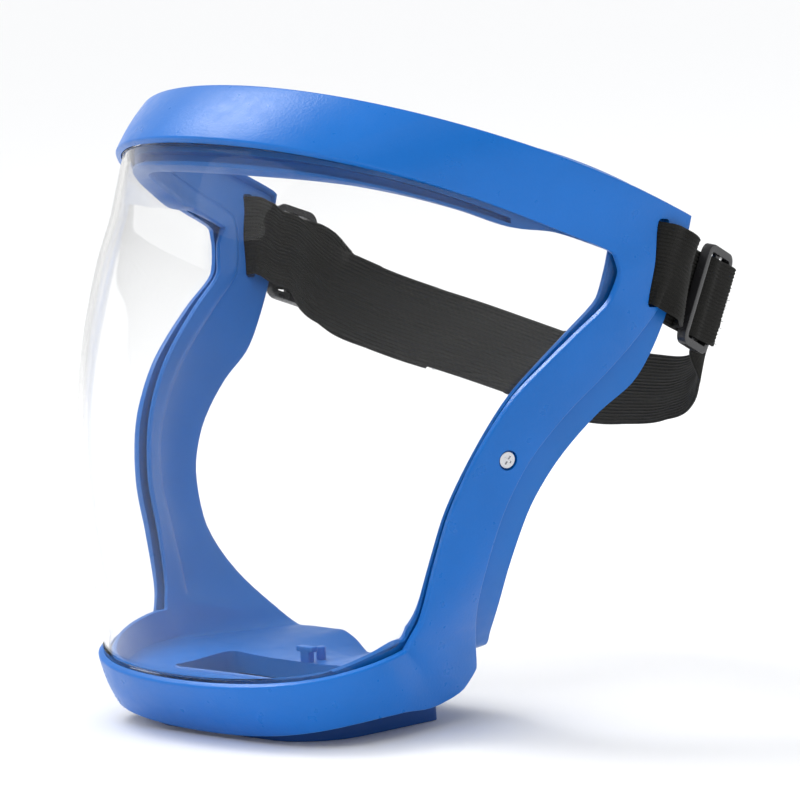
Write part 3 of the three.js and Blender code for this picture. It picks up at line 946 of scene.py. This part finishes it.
# ---- The two blue frames ----
@dataclass
class OuterFrame:
    """The outer ring: a crowned band with rounded edges, slotted at the temples and drilled at the cheeks."""

    wall: float = 2.5
    edge: float = 0.9
    crown: float = 0.7
    crown_at: tuple[float, ...] = (0.15, 0.3, 0.5, 0.7, 0.85)
    slot: Point = (5.2, 32, 30)
    slot_corner: float = 1.4
    slot_start: float = -4
    counterbore: Point = (3.7, 4, -1.3)  # radius, top and bottom
    bore: Point = (1.9, 4, -6)

    def section(self, i: int) -> np.ndarray:
        """Lays out the band's closed section.

        Args:
            i: The station.

        Returns:
            The section's points.
        """
        w, r = STATIONS.width(i), self.edge
        turn = [math.radians(a) for a in (0, 22.5, 45, 67.5, 90)]
        first = [(r - r * math.cos(a), r - r * math.sin(a)) for a in turn]
        face = [(r + (w - 2 * r) * f, -self.crown * math.sin(math.pi * f)) for f in self.crown_at]
        last = [(w - r + r * math.sin(a), r - r * math.cos(a)) for a in turn]
        back = [(w, self.wall), (w * 0.66, self.wall), (w * 0.33, self.wall), (0, self.wall)]
        return np.array([STATIONS.under(i, u, d) for u, d in first + face + last + back])

    def slot_tool(self) -> bpy.types.Object:
        """Makes a rounded block that cuts the left strap slot.

        Returns:
            The tool.
        """
        tool = cube("slot_tool", self.slot)
        finish_with(tool, "BEVEL", width=self.slot_corner * MM, segments=4)
        a = slot_axes()
        place(tool, a.x, a.y, a.z, a.point(0, 0, self.slot_start))
        return tool

    def screw_tool(self, radius: float, top: float, bottom: float) -> bpy.types.Object:
        """Makes a round tool on the left screw's axis.

        Args:
            radius: Its radius.
            top: Its upper end, above the outer face.
            bottom: Its lower end.

        Returns:
            The tool.
        """
        tool = cylinder("screw_tool", radius, top - bottom, (0, 0, (top + bottom) / 2))
        a = screw_axes()
        place(tool, a.x, a.y, a.z, a.at)
        return tool

    def build(self) -> bpy.types.Object:
        """Builds the band, cuts its slots and counterbores, and dresses it.

        Returns:
            The outer band.
        """
        rows = smooth_run(np.array([self.section(i) for i in range(STATIONS.count)]), FINE, True, True)
        piece = mesh_piece("outer_band", rows.reshape(-1, 3), loft_faces(len(rows), rows.shape[1], True))
        for make in (self.slot_tool, lambda: self.screw_tool(*self.counterbore),
                     lambda: self.screw_tool(*self.bore)):
            tool = make()
            carve(piece, mirrored(tool, "tool_twin"))
            carve(piece, tool)
        smooth(piece, 34)
        return dress(piece, FRAME_BLUE.make(), "shield", "frame", "outer_frame")


@dataclass
class InnerFrame:
    """The inner ring: a lip behind the lens, a wall, a flange for the face, and the floor of the chin."""

    wall: float = 2.0
    thin: float = 1.1
    outer_wall: float = 2.5
    lens_wall: float = 2.0
    gap: float = 0.35
    lap: float = 8.0
    port: Point = (76, 30, 22)
    port_at: Point = (0, -45, 20)
    port_corner: float = 5
    groove_depth: float = 4.2
    groove: tuple[float, float] = (2.2, 5.9)
    brow_lip: tuple[float, ...] = (7.5, 3.2, 11, 1.25)  # reach, set back, flange length and turn
    temple_lip: tuple[float, ...] = (3.5, 0.6, 4, 1.45)
    temple: float = 0.8  # where the brow ends and the temple begins, as a share of the brow's run

    def lip(self, i: int) -> tuple[float, float, float, float]:
        """Finds the lip's shape.

        Args:
            i: The station.

        Returns:
            Reach into the window, set back, flange length and flange turn.
        """
        brow, temple = np.array(self.brow_lip), np.array(self.temple_lip)
        zone, t = STATIONS.zone[i], STATIONS.t[i]
        if zone is Zone.CHIN:
            return 0.6, 0.4, 0, 0
        if zone is Zone.CHEEK:
            f = min(t / 0.45, 1)
            return 3.5 * (1 - f) - 2 * f, 0.4, 0, 0
        f = min(max(t * 1.1 - 0.1, 0), 1)
        reach, set_back, flange, turn = brow * (1 - f) + temple * f
        return (reach if t < self.temple else -1.0), set_back, flange, turn

    def outward(self, i: int, into: np.ndarray) -> np.ndarray:
        """Direction out of the dome at the window edge."""
        out = unit(np.cross(into, STATIONS.along[i]))
        return out if out @ STATIONS.normal[i] > 0 else -out

    def line(self, i: int, into: np.ndarray) -> np.ndarray:
        """Open section of the ring's outer side, from the lip to the face edge.

        Args:
            i: The station.
            into: Direction from the window edge into the window, along the dome.

        Returns:
            Five points.
        """
        reach, set_back, flange, turn = self.lip(i)
        back = self.outer_wall + self.lens_wall + 2 * self.gap
        edge = STATIONS.window[i] + into * reach - self.outward(i, into) * (back + set_back)
        behind = STATIONS.under(i, self.lap + 1.5, back)
        chin_fold = not np.isnan(STATIONS.fold[i][0])
        if chin_fold:
            fold = STATIONS.fold[i]
            step = behind * 0.88 + fold * 0.12
        else:
            fold = STATIONS.under(i, STATIONS.width(i) - 1, self.outer_wall + self.gap)
            step = STATIONS.under(i, self.lap + 3, self.outer_wall + self.gap)
        face = STATIONS.face[i]
        if np.isnan(face[0]):
            face = fold + STATIONS.across[i] * flange * math.cos(turn)
            face = face - STATIONS.normal[i] * flange * math.sin(turn)
        return np.array([edge, behind, step, fold, face])

    def rounded(self, line: np.ndarray, rounds: int = 2) -> np.ndarray:
        """Rounds the corners of an open line by cutting them.

        Args:
            line: The line's points.
            rounds: How many times they are cut.

        Returns:
            The rounder line.
        """
        for _ in range(rounds):
            cut = [line[0]]
            for a, b in zip(line, line[1:]):
                cut += [a * 0.78 + b * 0.22, a * 0.22 + b * 0.78]
            line = np.array(cut + [line[-1]])
        return line

    def section(self, i: int, into: np.ndarray) -> np.ndarray:
        """Lays out the closed section, thinner towards the face edge.

        Args:
            i: The station.
            into: Direction from the window edge into the window.

        Returns:
            The section's points.
        """
        line = self.rounded(self.line(i, into))
        run = unit(np.gradient(line, axis=0))
        side = unit(np.cross(run, STATIONS.along[i]))
        if side[1] @ STATIONS.normal[i] > 0:
            side = -side
        f = np.linspace(0, 1, len(line))[:, None]
        wall = self.wall * (1 - f ** 3) + self.thin * f ** 3
        if STATIONS.zone[i] is Zone.BROW:
            share = 1 if STATIONS.t[i] < self.temple else 0.2
            wall += self.groove_depth * np.clip(1.7 - 7 * f, 0, 1) * share
        inner = line + side * wall
        tip = (line[-1] + inner[-1]) / 2 + run[-1] * self.thin * 0.4
        root = (line[0] + inner[0]) / 2 - run[0] * self.wall * 0.3
        return np.vstack([line, tip[None], inner[::-1], root[None]])

    def groove_tool(self, into: np.ndarray) -> bpy.types.Object:
        """A bent bar that cuts the channel along the front of the brow's lip.

        Args:
            into: Direction into the window at each station.

        Returns:
            The tool.
        """
        reach = int(STATIONS.steps * 0.76)
        back = self.outer_wall + self.lens_wall + 2 * self.gap
        rows = []
        for i in range(-reach, reach + 1):
            out, fade = self.outward(i, into[i]), 1 - 0.45 * (abs(i) / reach) ** 2
            near, far = (STATIONS.window[i] + into[i] * r * fade for r in self.groove)
            deep = out * (back + 2.2 + self.groove_depth * fade)
            rows.append([near - out * (back - 1), far - out * (back - 1), far - deep, near - deep])
        stack = smooth_run(np.array(rows), FINE, False)
        return mesh_piece("groove_tool", stack.reshape(-1, 3), loft_faces(len(stack), 4, False))

    def build(self) -> bpy.types.Object:
        """Builds the ring, cuts the slots, the port and the groove, and dresses it.

        Returns:
            The inner ring.
        """
        visor = Visor()
        grid = visor.grid(1)
        rows, columns = grid.shape[0] - 1, grid.shape[1] - 1
        into = np.zeros((STATIONS.count, 3))
        for (r, c), s in visor.border(rows, columns, 1).items():
            inner = grid[min(max(r, 1), rows - 1), min(max(c, 1), columns - 1)]
            into[s] = unit(inner - grid[r, c])
        sections = np.array([self.section(i, into[i]) for i in range(STATIONS.count)])
        stack = smooth_run(sections, FINE, True, True)
        piece = mesh_piece("inner_ring", stack.reshape(-1, 3), loft_faces(len(stack), stack.shape[1], True))
        tool = OuterFrame().slot_tool()
        carve(piece, mirrored(tool, "tool_twin"))
        carve(piece, tool)
        port = cube("port_tool", self.port)
        finish_with(port, "BEVEL", width=self.port_corner * MM, segments=5)
        place(port, *np.eye(3), np.array(self.port_at, float))
        carve(piece, port)
        carve(piece, self.groove_tool(into))
        smooth(piece, 40)
        return dress(piece, SEAL_BLUE.make(), "shield", "seal", "inner_frame")


@dataclass
class ChinFittings:
    """Small mouldings of the inner frame: the catch, the peg and the tray's runners."""

    catch: Point = (4.6, 3, 6)
    catch_head: Point = (8.5, 3, 2)
    catch_at: Point = (0, -27.5, 24)
    peg: tuple[float, float] = (1.8, 5)  # radius and height
    peg_at: Point = (0, -20.5, 23.4)
    collar: Point = (79, 33, 9.4)
    collar_trim: Point = (90, 44, 9)
    collar_bore: Point = (75.4, 29.4, 24)
    collar_corner: float = 5.5
    bore_corner: float = 4.2
    collar_at: Point = (0, -45, 17.9)
    runner: Point = (1.8, 28, 12.6)
    runner_at: Point = (52.65, -28, 14.9)
    ledge: Point = (4.2, 28, 2.2)
    ledge_at: Point = (-1.6, 0, -5.2)

    def _one(self, piece: bpy.types.Object, bevel: float, at: Point,
             material: bpy.types.Material) -> bpy.types.Object:
        """Rounds a small moulding's edges, puts it in place and dresses it.

        Args:
            piece: The moulding.
            bevel: Width of its rounded edges.
            at: Its middle.
            material: Its material.

        Returns:
            The moulding.
        """
        finish_with(piece, "BEVEL", width=bevel * MM, segments=3, limit_method="ANGLE")
        place(piece, *np.eye(3), np.array(at, float))
        smooth(piece, 40)
        return dress(piece, material, "shield", "seal")

    def build(self, material: bpy.types.Material) -> list[bpy.types.Object]:
        """Builds the small mouldings.

        Args:
            material: The inner frame's own material.

        Returns:
            The mouldings.
        """
        catch = cube("chin_catch", self.catch)
        head = cube("catch_head", self.catch_head, (0, 0, self.catch[2] / 2 - 1))
        carve(catch, head, "UNION")
        peg = cylinder("chin_peg", *self.peg)
        pieces = [self._one(catch, 0.5, self.catch_at, material), self._one(peg, 0.5, self.peg_at, material)]
        collar = cube("port_collar", self.collar)
        finish_with(collar, "BEVEL", width=self.collar_corner * MM, segments=6, limit_method="ANGLE")
        carve(collar, cube("collar_trim", self.collar_trim), "INTERSECT")
        bore = cube("collar_bore", self.collar_bore)
        finish_with(bore, "BEVEL", width=self.bore_corner * MM, segments=6, limit_method="ANGLE")
        carve(collar, bore)
        pieces.append(self._one(collar, 0.3, self.collar_at, material))
        wall = cube("tray_runner_left", self.runner)
        carve(wall, cube("ledge", self.ledge, self.ledge_at), "UNION")
        left = self._one(wall, 0.3, self.runner_at, material)
        right = mirrored(left, "tray_runner_right")
        return pieces + [left, dress(right, material, "shield", "seal")]


@dataclass
class CheekScrew:
    """A pan-head screw with a cross recess, sunk into the outer frame."""

    head: tuple[float, float] = (3.25, 1.3)  # radius and height
    head_at: Point = (0, 0, -0.6)
    dome: float = 0.55
    shank: tuple[float, float] = (1.5, 3.0)
    recess: tuple[Point, ...] = ((3.4, 0.75, 1.6), (0.75, 3.4, 1.6))
    recess_at: Point = (0, 0, 0.2)
    burr: float = 0.1

    def build(self) -> list[bpy.types.Object]:
        """Models one screw and mirrors it to the other cheek.

        Returns:
            The two screws.
        """
        screw = cylinder("cheek_screw_head_left", *self.head, self.head_at, 48)
        finish_with(screw, "BEVEL", width=self.dome * MM, segments=5, limit_method="ANGLE")
        carve(screw, cylinder("shank", *self.shank, (0, 0, -1 - self.shank[1] / 2), 24), "UNION")
        for size in self.recess:
            carve(screw, cube("recess", size, self.recess_at))
        finish_with(screw, "BEVEL", width=self.burr * MM, segments=2, limit_method="ANGLE")
        a = screw_axes()
        place(screw, a.x, a.y, a.z, a.at)
        smooth(screw, 30)
        twin = mirrored(screw, "cheek_screw_head_right")
        steel = STEEL.make()
        return [dress(screw, steel, "shield", "steel", "cheek_screw_left"),
                dress(twin, steel, "shield", "steel", "cheek_screw_right")]


@dataclass
class FilterTray:
    """The tray under the chin, its blue darkened as painted shade, with its felt pad."""

    edge: float = 0.8
    sharp: float = 50  # degrees from which an edge of the shell is rounded
    pad: Point = (84, 50, 5.4)
    pad_at: Point = (0, -39, 7.3)
    pad_edge: float = 1.2
    lump: float = 6
    lump_height: float = 0.6

    def build(self) -> list[bpy.types.Object]:
        """Rounds the tray's shell and makes the felt pad.

        Returns:
            The tray and the pad.
        """
        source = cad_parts["filter_tray"]
        tray = source.copy()
        tray.data = source.data.copy()
        tray.name = "chin_tray"
        tray.parent = None
        bpy.context.scene.collection.objects.link(tray)
        for key in list(tray.keys()):
            del tray[key]
        edit(tray, ("remove_doubles", {"threshold": 1e-5}),
             ("dissolve_limited", {"angle_limit": math.radians(3)}))
        finish_with(tray, "BEVEL", width=self.edge * MM, segments=3, limit_method="ANGLE",
                    angle_limit=math.radians(self.sharp))
        smooth(tray, 40)
        # The darker blue of the tray is painted shade.
        dress(tray, SHADED_TRAY_BLUE.make(), "tray", "tray", "filter_tray")
        pad = cube("felt_pad", self.pad)
        finish_with(pad, "BEVEL", width=self.pad_edge * MM, segments=3)
        edit(pad, ("subdivide", {"number_cuts": 6}), ("subdivide", {"number_cuts": 2}))
        texture = bpy.data.textures.new("felt_lumps", "CLOUDS")
        texture.noise_scale = self.lump * MM
        finish_with(pad, "DISPLACE", texture=texture, strength=self.lump_height * MM, mid_level=0.5)
        place(pad, *np.eye(3), np.array(self.pad_at, float))
        smooth(pad, 60)
        dress(pad, FELT.make(), "tray", "filter", "filter_pad")
        return [tray, pad]


# ---- Strap and buckles ----
@dataclass
class SlideBuckle:
    """A three-bar slide: a rounded ring with a middle bar."""

    side: Side
    size: Point = (20, 38, 3.4)
    corner: float = 4
    rim: float = 2.8
    bar: Point = (3.2, 33, 1.6)
    bar_drop: float = 0.5
    edge: float = 0.8
    sharp: float = 50  # degrees from which an edge is rounded

    def build(self, material: bpy.types.Material) -> bpy.types.Object:
        """Models the ring from a plate, opens it, and adds the middle bar.

        Args:
            material: The buckle's material.

        Returns:
            The buckle.
        """
        name = self.side.name.lower()
        plate = cube("slide_buckle_" + name, self.size)
        activate(plate)
        bpy.ops.object.mode_set(mode="EDIT")
        bpy.ops.mesh.select_mode(type="EDGE")
        bpy.ops.mesh.select_all(action="DESELECT")
        bpy.ops.object.mode_set(mode="OBJECT")
        for edge in plate.data.edges:
            a, b = (plate.data.vertices[v].co for v in edge.vertices)
            edge.select = abs(a.z - b.z) > 1e-6
        bpy.ops.object.mode_set(mode="EDIT")
        bpy.ops.mesh.bevel(offset=self.corner * MM, segments=6)
        bpy.ops.mesh.select_mode(type="FACE")
        bpy.ops.mesh.select_all(action="DESELECT")
        bpy.ops.object.mode_set(mode="OBJECT")
        for polygon in plate.data.polygons:
            polygon.select = abs(polygon.normal.z) > 0.9
        bpy.ops.object.mode_set(mode="EDIT")
        bpy.ops.mesh.inset(thickness=self.rim * MM, depth=0)
        bpy.ops.mesh.bridge_edge_loops()
        bpy.ops.mesh.select_all(action="SELECT")
        bpy.ops.mesh.normals_make_consistent(inside=False)
        bpy.ops.object.mode_set(mode="OBJECT")
        carve(plate, cube("bar", self.bar, (0, 0, -self.bar_drop)), "UNION")
        finish_with(plate, "BEVEL", width=self.edge * MM, segments=4, limit_method="ANGLE",
                    angle_limit=math.radians(self.sharp))
        a = buckle_axes(self.side)
        place(plate, a.x, a.y, a.z, a.at)
        smooth(plate, 45)
        return dress(plate, material, name + "_buckle", "buckle", "buckle_" + name)


@dataclass
class HeadStrap:
    """The elastic strap: one ribbed band, threaded through both slots and both buckles."""

    wide: float = 30
    thick: float = 1.4
    ribs: int = 22
    rib_depth: float = 0.34
    per_span: int = 9
    left_under: tuple[Point, ...] = ((102.8, 60.5, 157.6), (101.6, 68, 153.4), (98.2, 80, 148.4))
    right_under: tuple[Point, ...] = ((-102.8, 62, 159), (-102.4, 70, 156), (-101.3, 79, 147.5))
    back: tuple[Point, ...] = ((95.8, 88.4, 143.6), (92.5, 92, 136), (88, 95, 123), (82, 96, 115),
                               (72, 97.5, 110.8), (50, 99.5, 108.6), (27, 102, 108.8), (6, 104, 111.6),
                               (-15, 104, 116), (-40, 101, 122.2), (-62, 96, 128), (-80, 91.6, 133.5),
                               (-92, 87, 138.6), (-97.5, 83.4, 142))
    back_up: tuple[Point, ...] = ((0.05, 0.3, 0.95), (0.05, 0.25, 0.96), (0.08, 0.3, 0.95),
                                  (-0.08, 0.55, 0.83), (-0.18, 0.68, 0.71), (-0.1, 0.6, 0.79), (0, 0.4, 0.92),
                                  (0, 0.25, 0.97), (0, 0.2, 0.98), (-0.02, 0.2, 0.98), (-0.05, 0.2, 0.98),
                                  (-0.1, 0.2, 0.97), (-0.15, 0.2, 0.96), (-0.17, 0.25, 0.95))
    tail: tuple[Point, ...] = ((-56, 99.6, 124.6), (-64, 97.6, 126.6), (-81, 93.6, 131.6),
                               (-93.6, 89.2, 136.6), (-101.5, 87.4, 142.6))
    tail_up: Point = (-0.05, 0.2, 0.97)
    over_buckle: tuple[tuple[float, float], ...] = ((10.6, 2.75), (8.2, 2.6), (5, 2.0), (1.5, 1.2), (-1.5, 1.1),
                                                    (-4.4, -0.5), (-7, -2.3), (-10.5, -2.9))
    outer_leg: tuple[Point, ...] = ((20, -4.0, -9.0), (12.5, 1.6, -4.6), (6, 2.0, -1.6))
    outer_leg_right: tuple[Point, ...] = ((12.5, 2.6, -4.2), (6, 2.0, -1.6))
    slot_turn: tuple[Point, ...] = ((0.2, 1.6, 0), (-1.4, 0.1, 0), (-1.7, -2.4, 0), (-1.3, -5, 0),
                                    (0.8, -7.0, 0), (6, -7.8, -1.6))
    threads: int = 70
    thread_radius: Point = (0.16, 0.13, 0.05)  # at its root, middle and tip

    def through(self, side: Side) -> list[tuple[np.ndarray, np.ndarray]]:
        """Leads the webbing from its outer run over a buckle, through the temple slot and back under.

        Args:
            side: The wearer's side.

        Returns:
            Points of the path, each with the direction of the webbing's width.
        """
        b, s = buckle_axes(side), slot_axes()
        outer, under = self.outer_leg, self.left_under
        if side is Side.RIGHT:
            s = s.flipped()
            outer, under = self.outer_leg_right, self.right_under
        path = [(b.point(r, 0, o), b.y) for r, o in self.over_buckle]
        path += [(s.point(r, u, o), s.y) for r, o, u in outer + self.slot_turn]
        return path + [(np.array(p, float), (b.y + s.y) / 2 if k == 0 else b.y) for k, p in enumerate(under)]

    def section(self) -> list[tuple[float, float]]:
        """Lays out the closed ribbed section.

        Returns:
            Places across the width and through the thickness.
        """
        count = self.ribs * 4
        top = []
        for i in range(count + 1):
            f = i / count
            edge = min(f, 1 - f) * self.wide
            round_off = min(edge / 0.6, 1) ** 0.5
            rib = self.rib_depth * abs(math.sin(math.pi * f * self.ribs))
            top.append(((f - 0.5) * self.wide, round_off * (self.thick / 2 - self.rib_depth + rib)))
        return top + [(x, -y) for x, y in top[-2:0:-1]]

    def build(self) -> bpy.types.Object:
        """Builds the band along its path, with a UV map along and across it.

        Returns:
            The strap.
        """
        path = self.through(Side.LEFT)
        path += [(np.array(p, float), np.array(u, float)) for p, u in zip(self.back, self.back_up)]
        path += self.through(Side.RIGHT)[::-1]
        path += [(np.array(p, float), np.array(self.tail_up)) for p in self.tail[::-1]]
        centre = smooth_run(np.array([p for p, _ in path]), self.per_span, False)
        hint = smooth_run(np.array([u for _, u in path]), self.per_span, False)
        run = unit(np.gradient(centre, axis=0))
        up = unit(hint - run * np.sum(hint * run, axis=1)[:, None])
        face = np.cross(run, up)
        shape = self.section()
        rows = np.array([[c + u * x + n * y for x, y in shape] for c, u, n in zip(centre, up, face)])
        piece = mesh_piece("elastic_strap", rows.reshape(-1, 3), loft_faces(len(rows), len(shape), False))
        length = np.concatenate([[0], np.cumsum(np.linalg.norm(np.diff(centre, axis=0), axis=1))])
        log.info("strap length along its path: %.0f mm", length[-1])
        layer = piece.data.uv_layers.new(name="along")
        count = len(shape)
        for polygon in piece.data.polygons:
            for corner in polygon.loop_indices:
                v = piece.data.loops[corner].vertex_index
                layer.data[corner].uv = (length[v // count] * MM, shape[v % count][0] * MM)
        smooth(piece, 60)
        dress(piece, ELASTIC.make(), "", "webbing", "strap_loop_left", "strap_loop_right", "head_strap")
        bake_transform(piece)
        self.fray(path, piece.data.materials[0])
        return piece

    def fray(self, path: list[tuple[np.ndarray, np.ndarray]], material: bpy.types.Material) -> None:
        """Adds the loose threads of the cut ends, each on the body that its end rides.

        Args:
            path: The band's centre line and width direction, from one cut end to the other.
            material: The band's own material.
        """
        rng = random.Random(7)
        cuts = ((Side.LEFT, "shield", path[0], path[1]), (Side.RIGHT, "strap", path[-1], path[-2]))
        for side, body, (end, up), (inner, _) in cuts:
            away, points, faces = unit(end - inner), [], []
            out = unit(np.cross(up, away))
            for _ in range(self.threads):
                root = up * self.wide * (rng.random() - 0.5) + out * rng.uniform(-0.5, 0.5)
                start = end + root - away * 0.6
                bend = away + up * rng.uniform(-0.5, 0.5) + out * rng.uniform(-0.45, 0.45)
                tip = start + unit(bend) * rng.uniform(1.0, 2.6)
                mid = (start + tip) / 2 + out * rng.uniform(-0.3, 0.3)
                base = len(points)
                for at, r in zip((start, mid, tip), self.thread_radius):
                    points += [at + up * r, at + out * r, at - (up + out) * r * 0.7]
                for k in range(2):
                    for j in range(3):
                        a, b = base + 3 * k + j, base + 3 * k + (j + 1) % 3
                        faces.append((a, b, b + 3, a + 3))
                faces += [(base, base + 2, base + 1), (base + 6, base + 7, base + 8)]
            piece = mesh_piece("frayed_end_" + side.name.lower(), np.array(points), faces)
            piece.data.uv_layers.new(name="along")
            dress(piece, material, body, "webbing")


# ---- Studio ----
@dataclass
class Studio:
    """Pale floor, soft lights and the camera."""

    target: Point = (0, 22.3, 109)
    towards: Point = (0.7168, -0.6854, 0.1282)
    up: Point = (-0.0602, 0.1223, 0.9907)
    distance: float = 2400
    lens: float = 293.8
    far: float = 30
    floor_size: float = 30
    floor_grey: Point = (0.9, 0.905, 0.915)
    sky: tuple[float, float] = (1.0, 0.48)  # grey at the horizon and overhead
    sky_run: tuple[float, float] = (0.15, 0.5)  # where the one turns into the other
    sun_power: float = 1.75
    sun_spread: float = 80
    sun_turn: tuple[float, float] = (14, -8)
    box_at: Point = (-1.0, -0.05, 1.45)
    box_size: float = 0.7
    box_power: float = 10
    aim: Point = (0, 0, 0.11)

    def camera(self) -> None:
        """Creates the camera."""
        z = Vector(self.towards).normalized()
        x = Vector(self.up).cross(z).normalized()
        matrix = Matrix((x, z.cross(x), z)).transposed().to_4x4()
        matrix.translation = (Vector(self.target) + z * self.distance) * MM
        data = bpy.data.cameras.new("studio_camera")
        data.lens = self.lens
        data.clip_end = self.far
        camera = bpy.data.objects.new("studio_camera", data)
        camera.matrix_world = matrix
        bpy.context.scene.collection.objects.link(camera)
        bpy.context.scene.camera = camera

    def brow_light(self) -> None:
        """Adds the square soft light that puts the sheen on the brow."""
        data = bpy.data.lights.new("brow_box", "AREA")
        data.size = self.box_size
        data.energy = self.box_power
        lamp = bpy.data.objects.new("brow_box", data)
        lamp.location = self.box_at
        lamp.rotation_euler = (Vector(self.box_at) - Vector(self.aim)).to_track_quat("Z", "Y").to_euler()
        bpy.context.scene.collection.objects.link(lamp)

    def overhead(self) -> None:
        """Adds the broad light from above."""
        sun = bpy.data.lights.new("overhead_sky", "SUN")
        sun.energy = self.sun_power
        sun.angle = math.radians(self.sun_spread)
        lamp = bpy.data.objects.new("overhead_sky", sun)
        lamp.rotation_euler = (*(math.radians(a) for a in self.sun_turn), 0)
        lamp.visible_glossy = False
        bpy.context.scene.collection.objects.link(lamp)

    def floor(self) -> None:
        """Adds the pale floor."""
        deselect()
        bpy.ops.mesh.primitive_plane_add(size=self.floor_size, location=(0, 0, -0.2 * MM))
        floor = bpy.context.object
        floor.name = "studio_floor"
        s = Shader("pale_floor")
        s.set(Base_Color=(*self.floor_grey, 1), Roughness=0.9, Specular_IOR_Level=0.1)
        floor.data.materials.append(s.material)

    def world(self) -> None:
        """Sets up the pale surroundings, darker overhead."""
        world = bpy.data.worlds.new("studio_world")
        bpy.context.scene.world = world
        world.use_nodes = True
        background = world.node_tree.nodes["Background"]
        sky = world.node_tree.nodes.new("ShaderNodeTexCoord")
        split = world.node_tree.nodes.new("ShaderNodeSeparateXYZ")
        ramp = world.node_tree.nodes.new("ShaderNodeValToRGB")
        for stop, grey, position in zip(ramp.color_ramp.elements, self.sky, self.sky_run):
            stop.color = (grey, grey, grey, 1)
            stop.position = position
        world.node_tree.links.new(sky.outputs["Generated"], split.inputs["Vector"])
        world.node_tree.links.new(split.outputs["Z"], ramp.inputs["Fac"])
        world.node_tree.links.new(ramp.outputs["Color"], background.inputs["Color"])

    def build(self) -> None:
        """Sets up the world, lights, floor and camera."""
        self.world()
        self.overhead()
        self.brow_light()
        self.floor()
        self.camera()
        bpy.context.scene.view_settings.view_transform = "Standard"


def main() -> None:
    """Builds the shield piece by piece and reports each one."""
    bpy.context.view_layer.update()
    Studio().build()
    OuterFrame().build()
    seal = InnerFrame().build()
    ChinFittings().build(seal.data.materials[0])
    Visor().build()
    CheekScrew().build()
    FilterTray().build()
    nylon = BUCKLE_NYLON.make()
    for side in Side:
        SlideBuckle(side).build(nylon)
    HeadStrap().build()
    deselect()


if __name__ == "__main__":
    main()
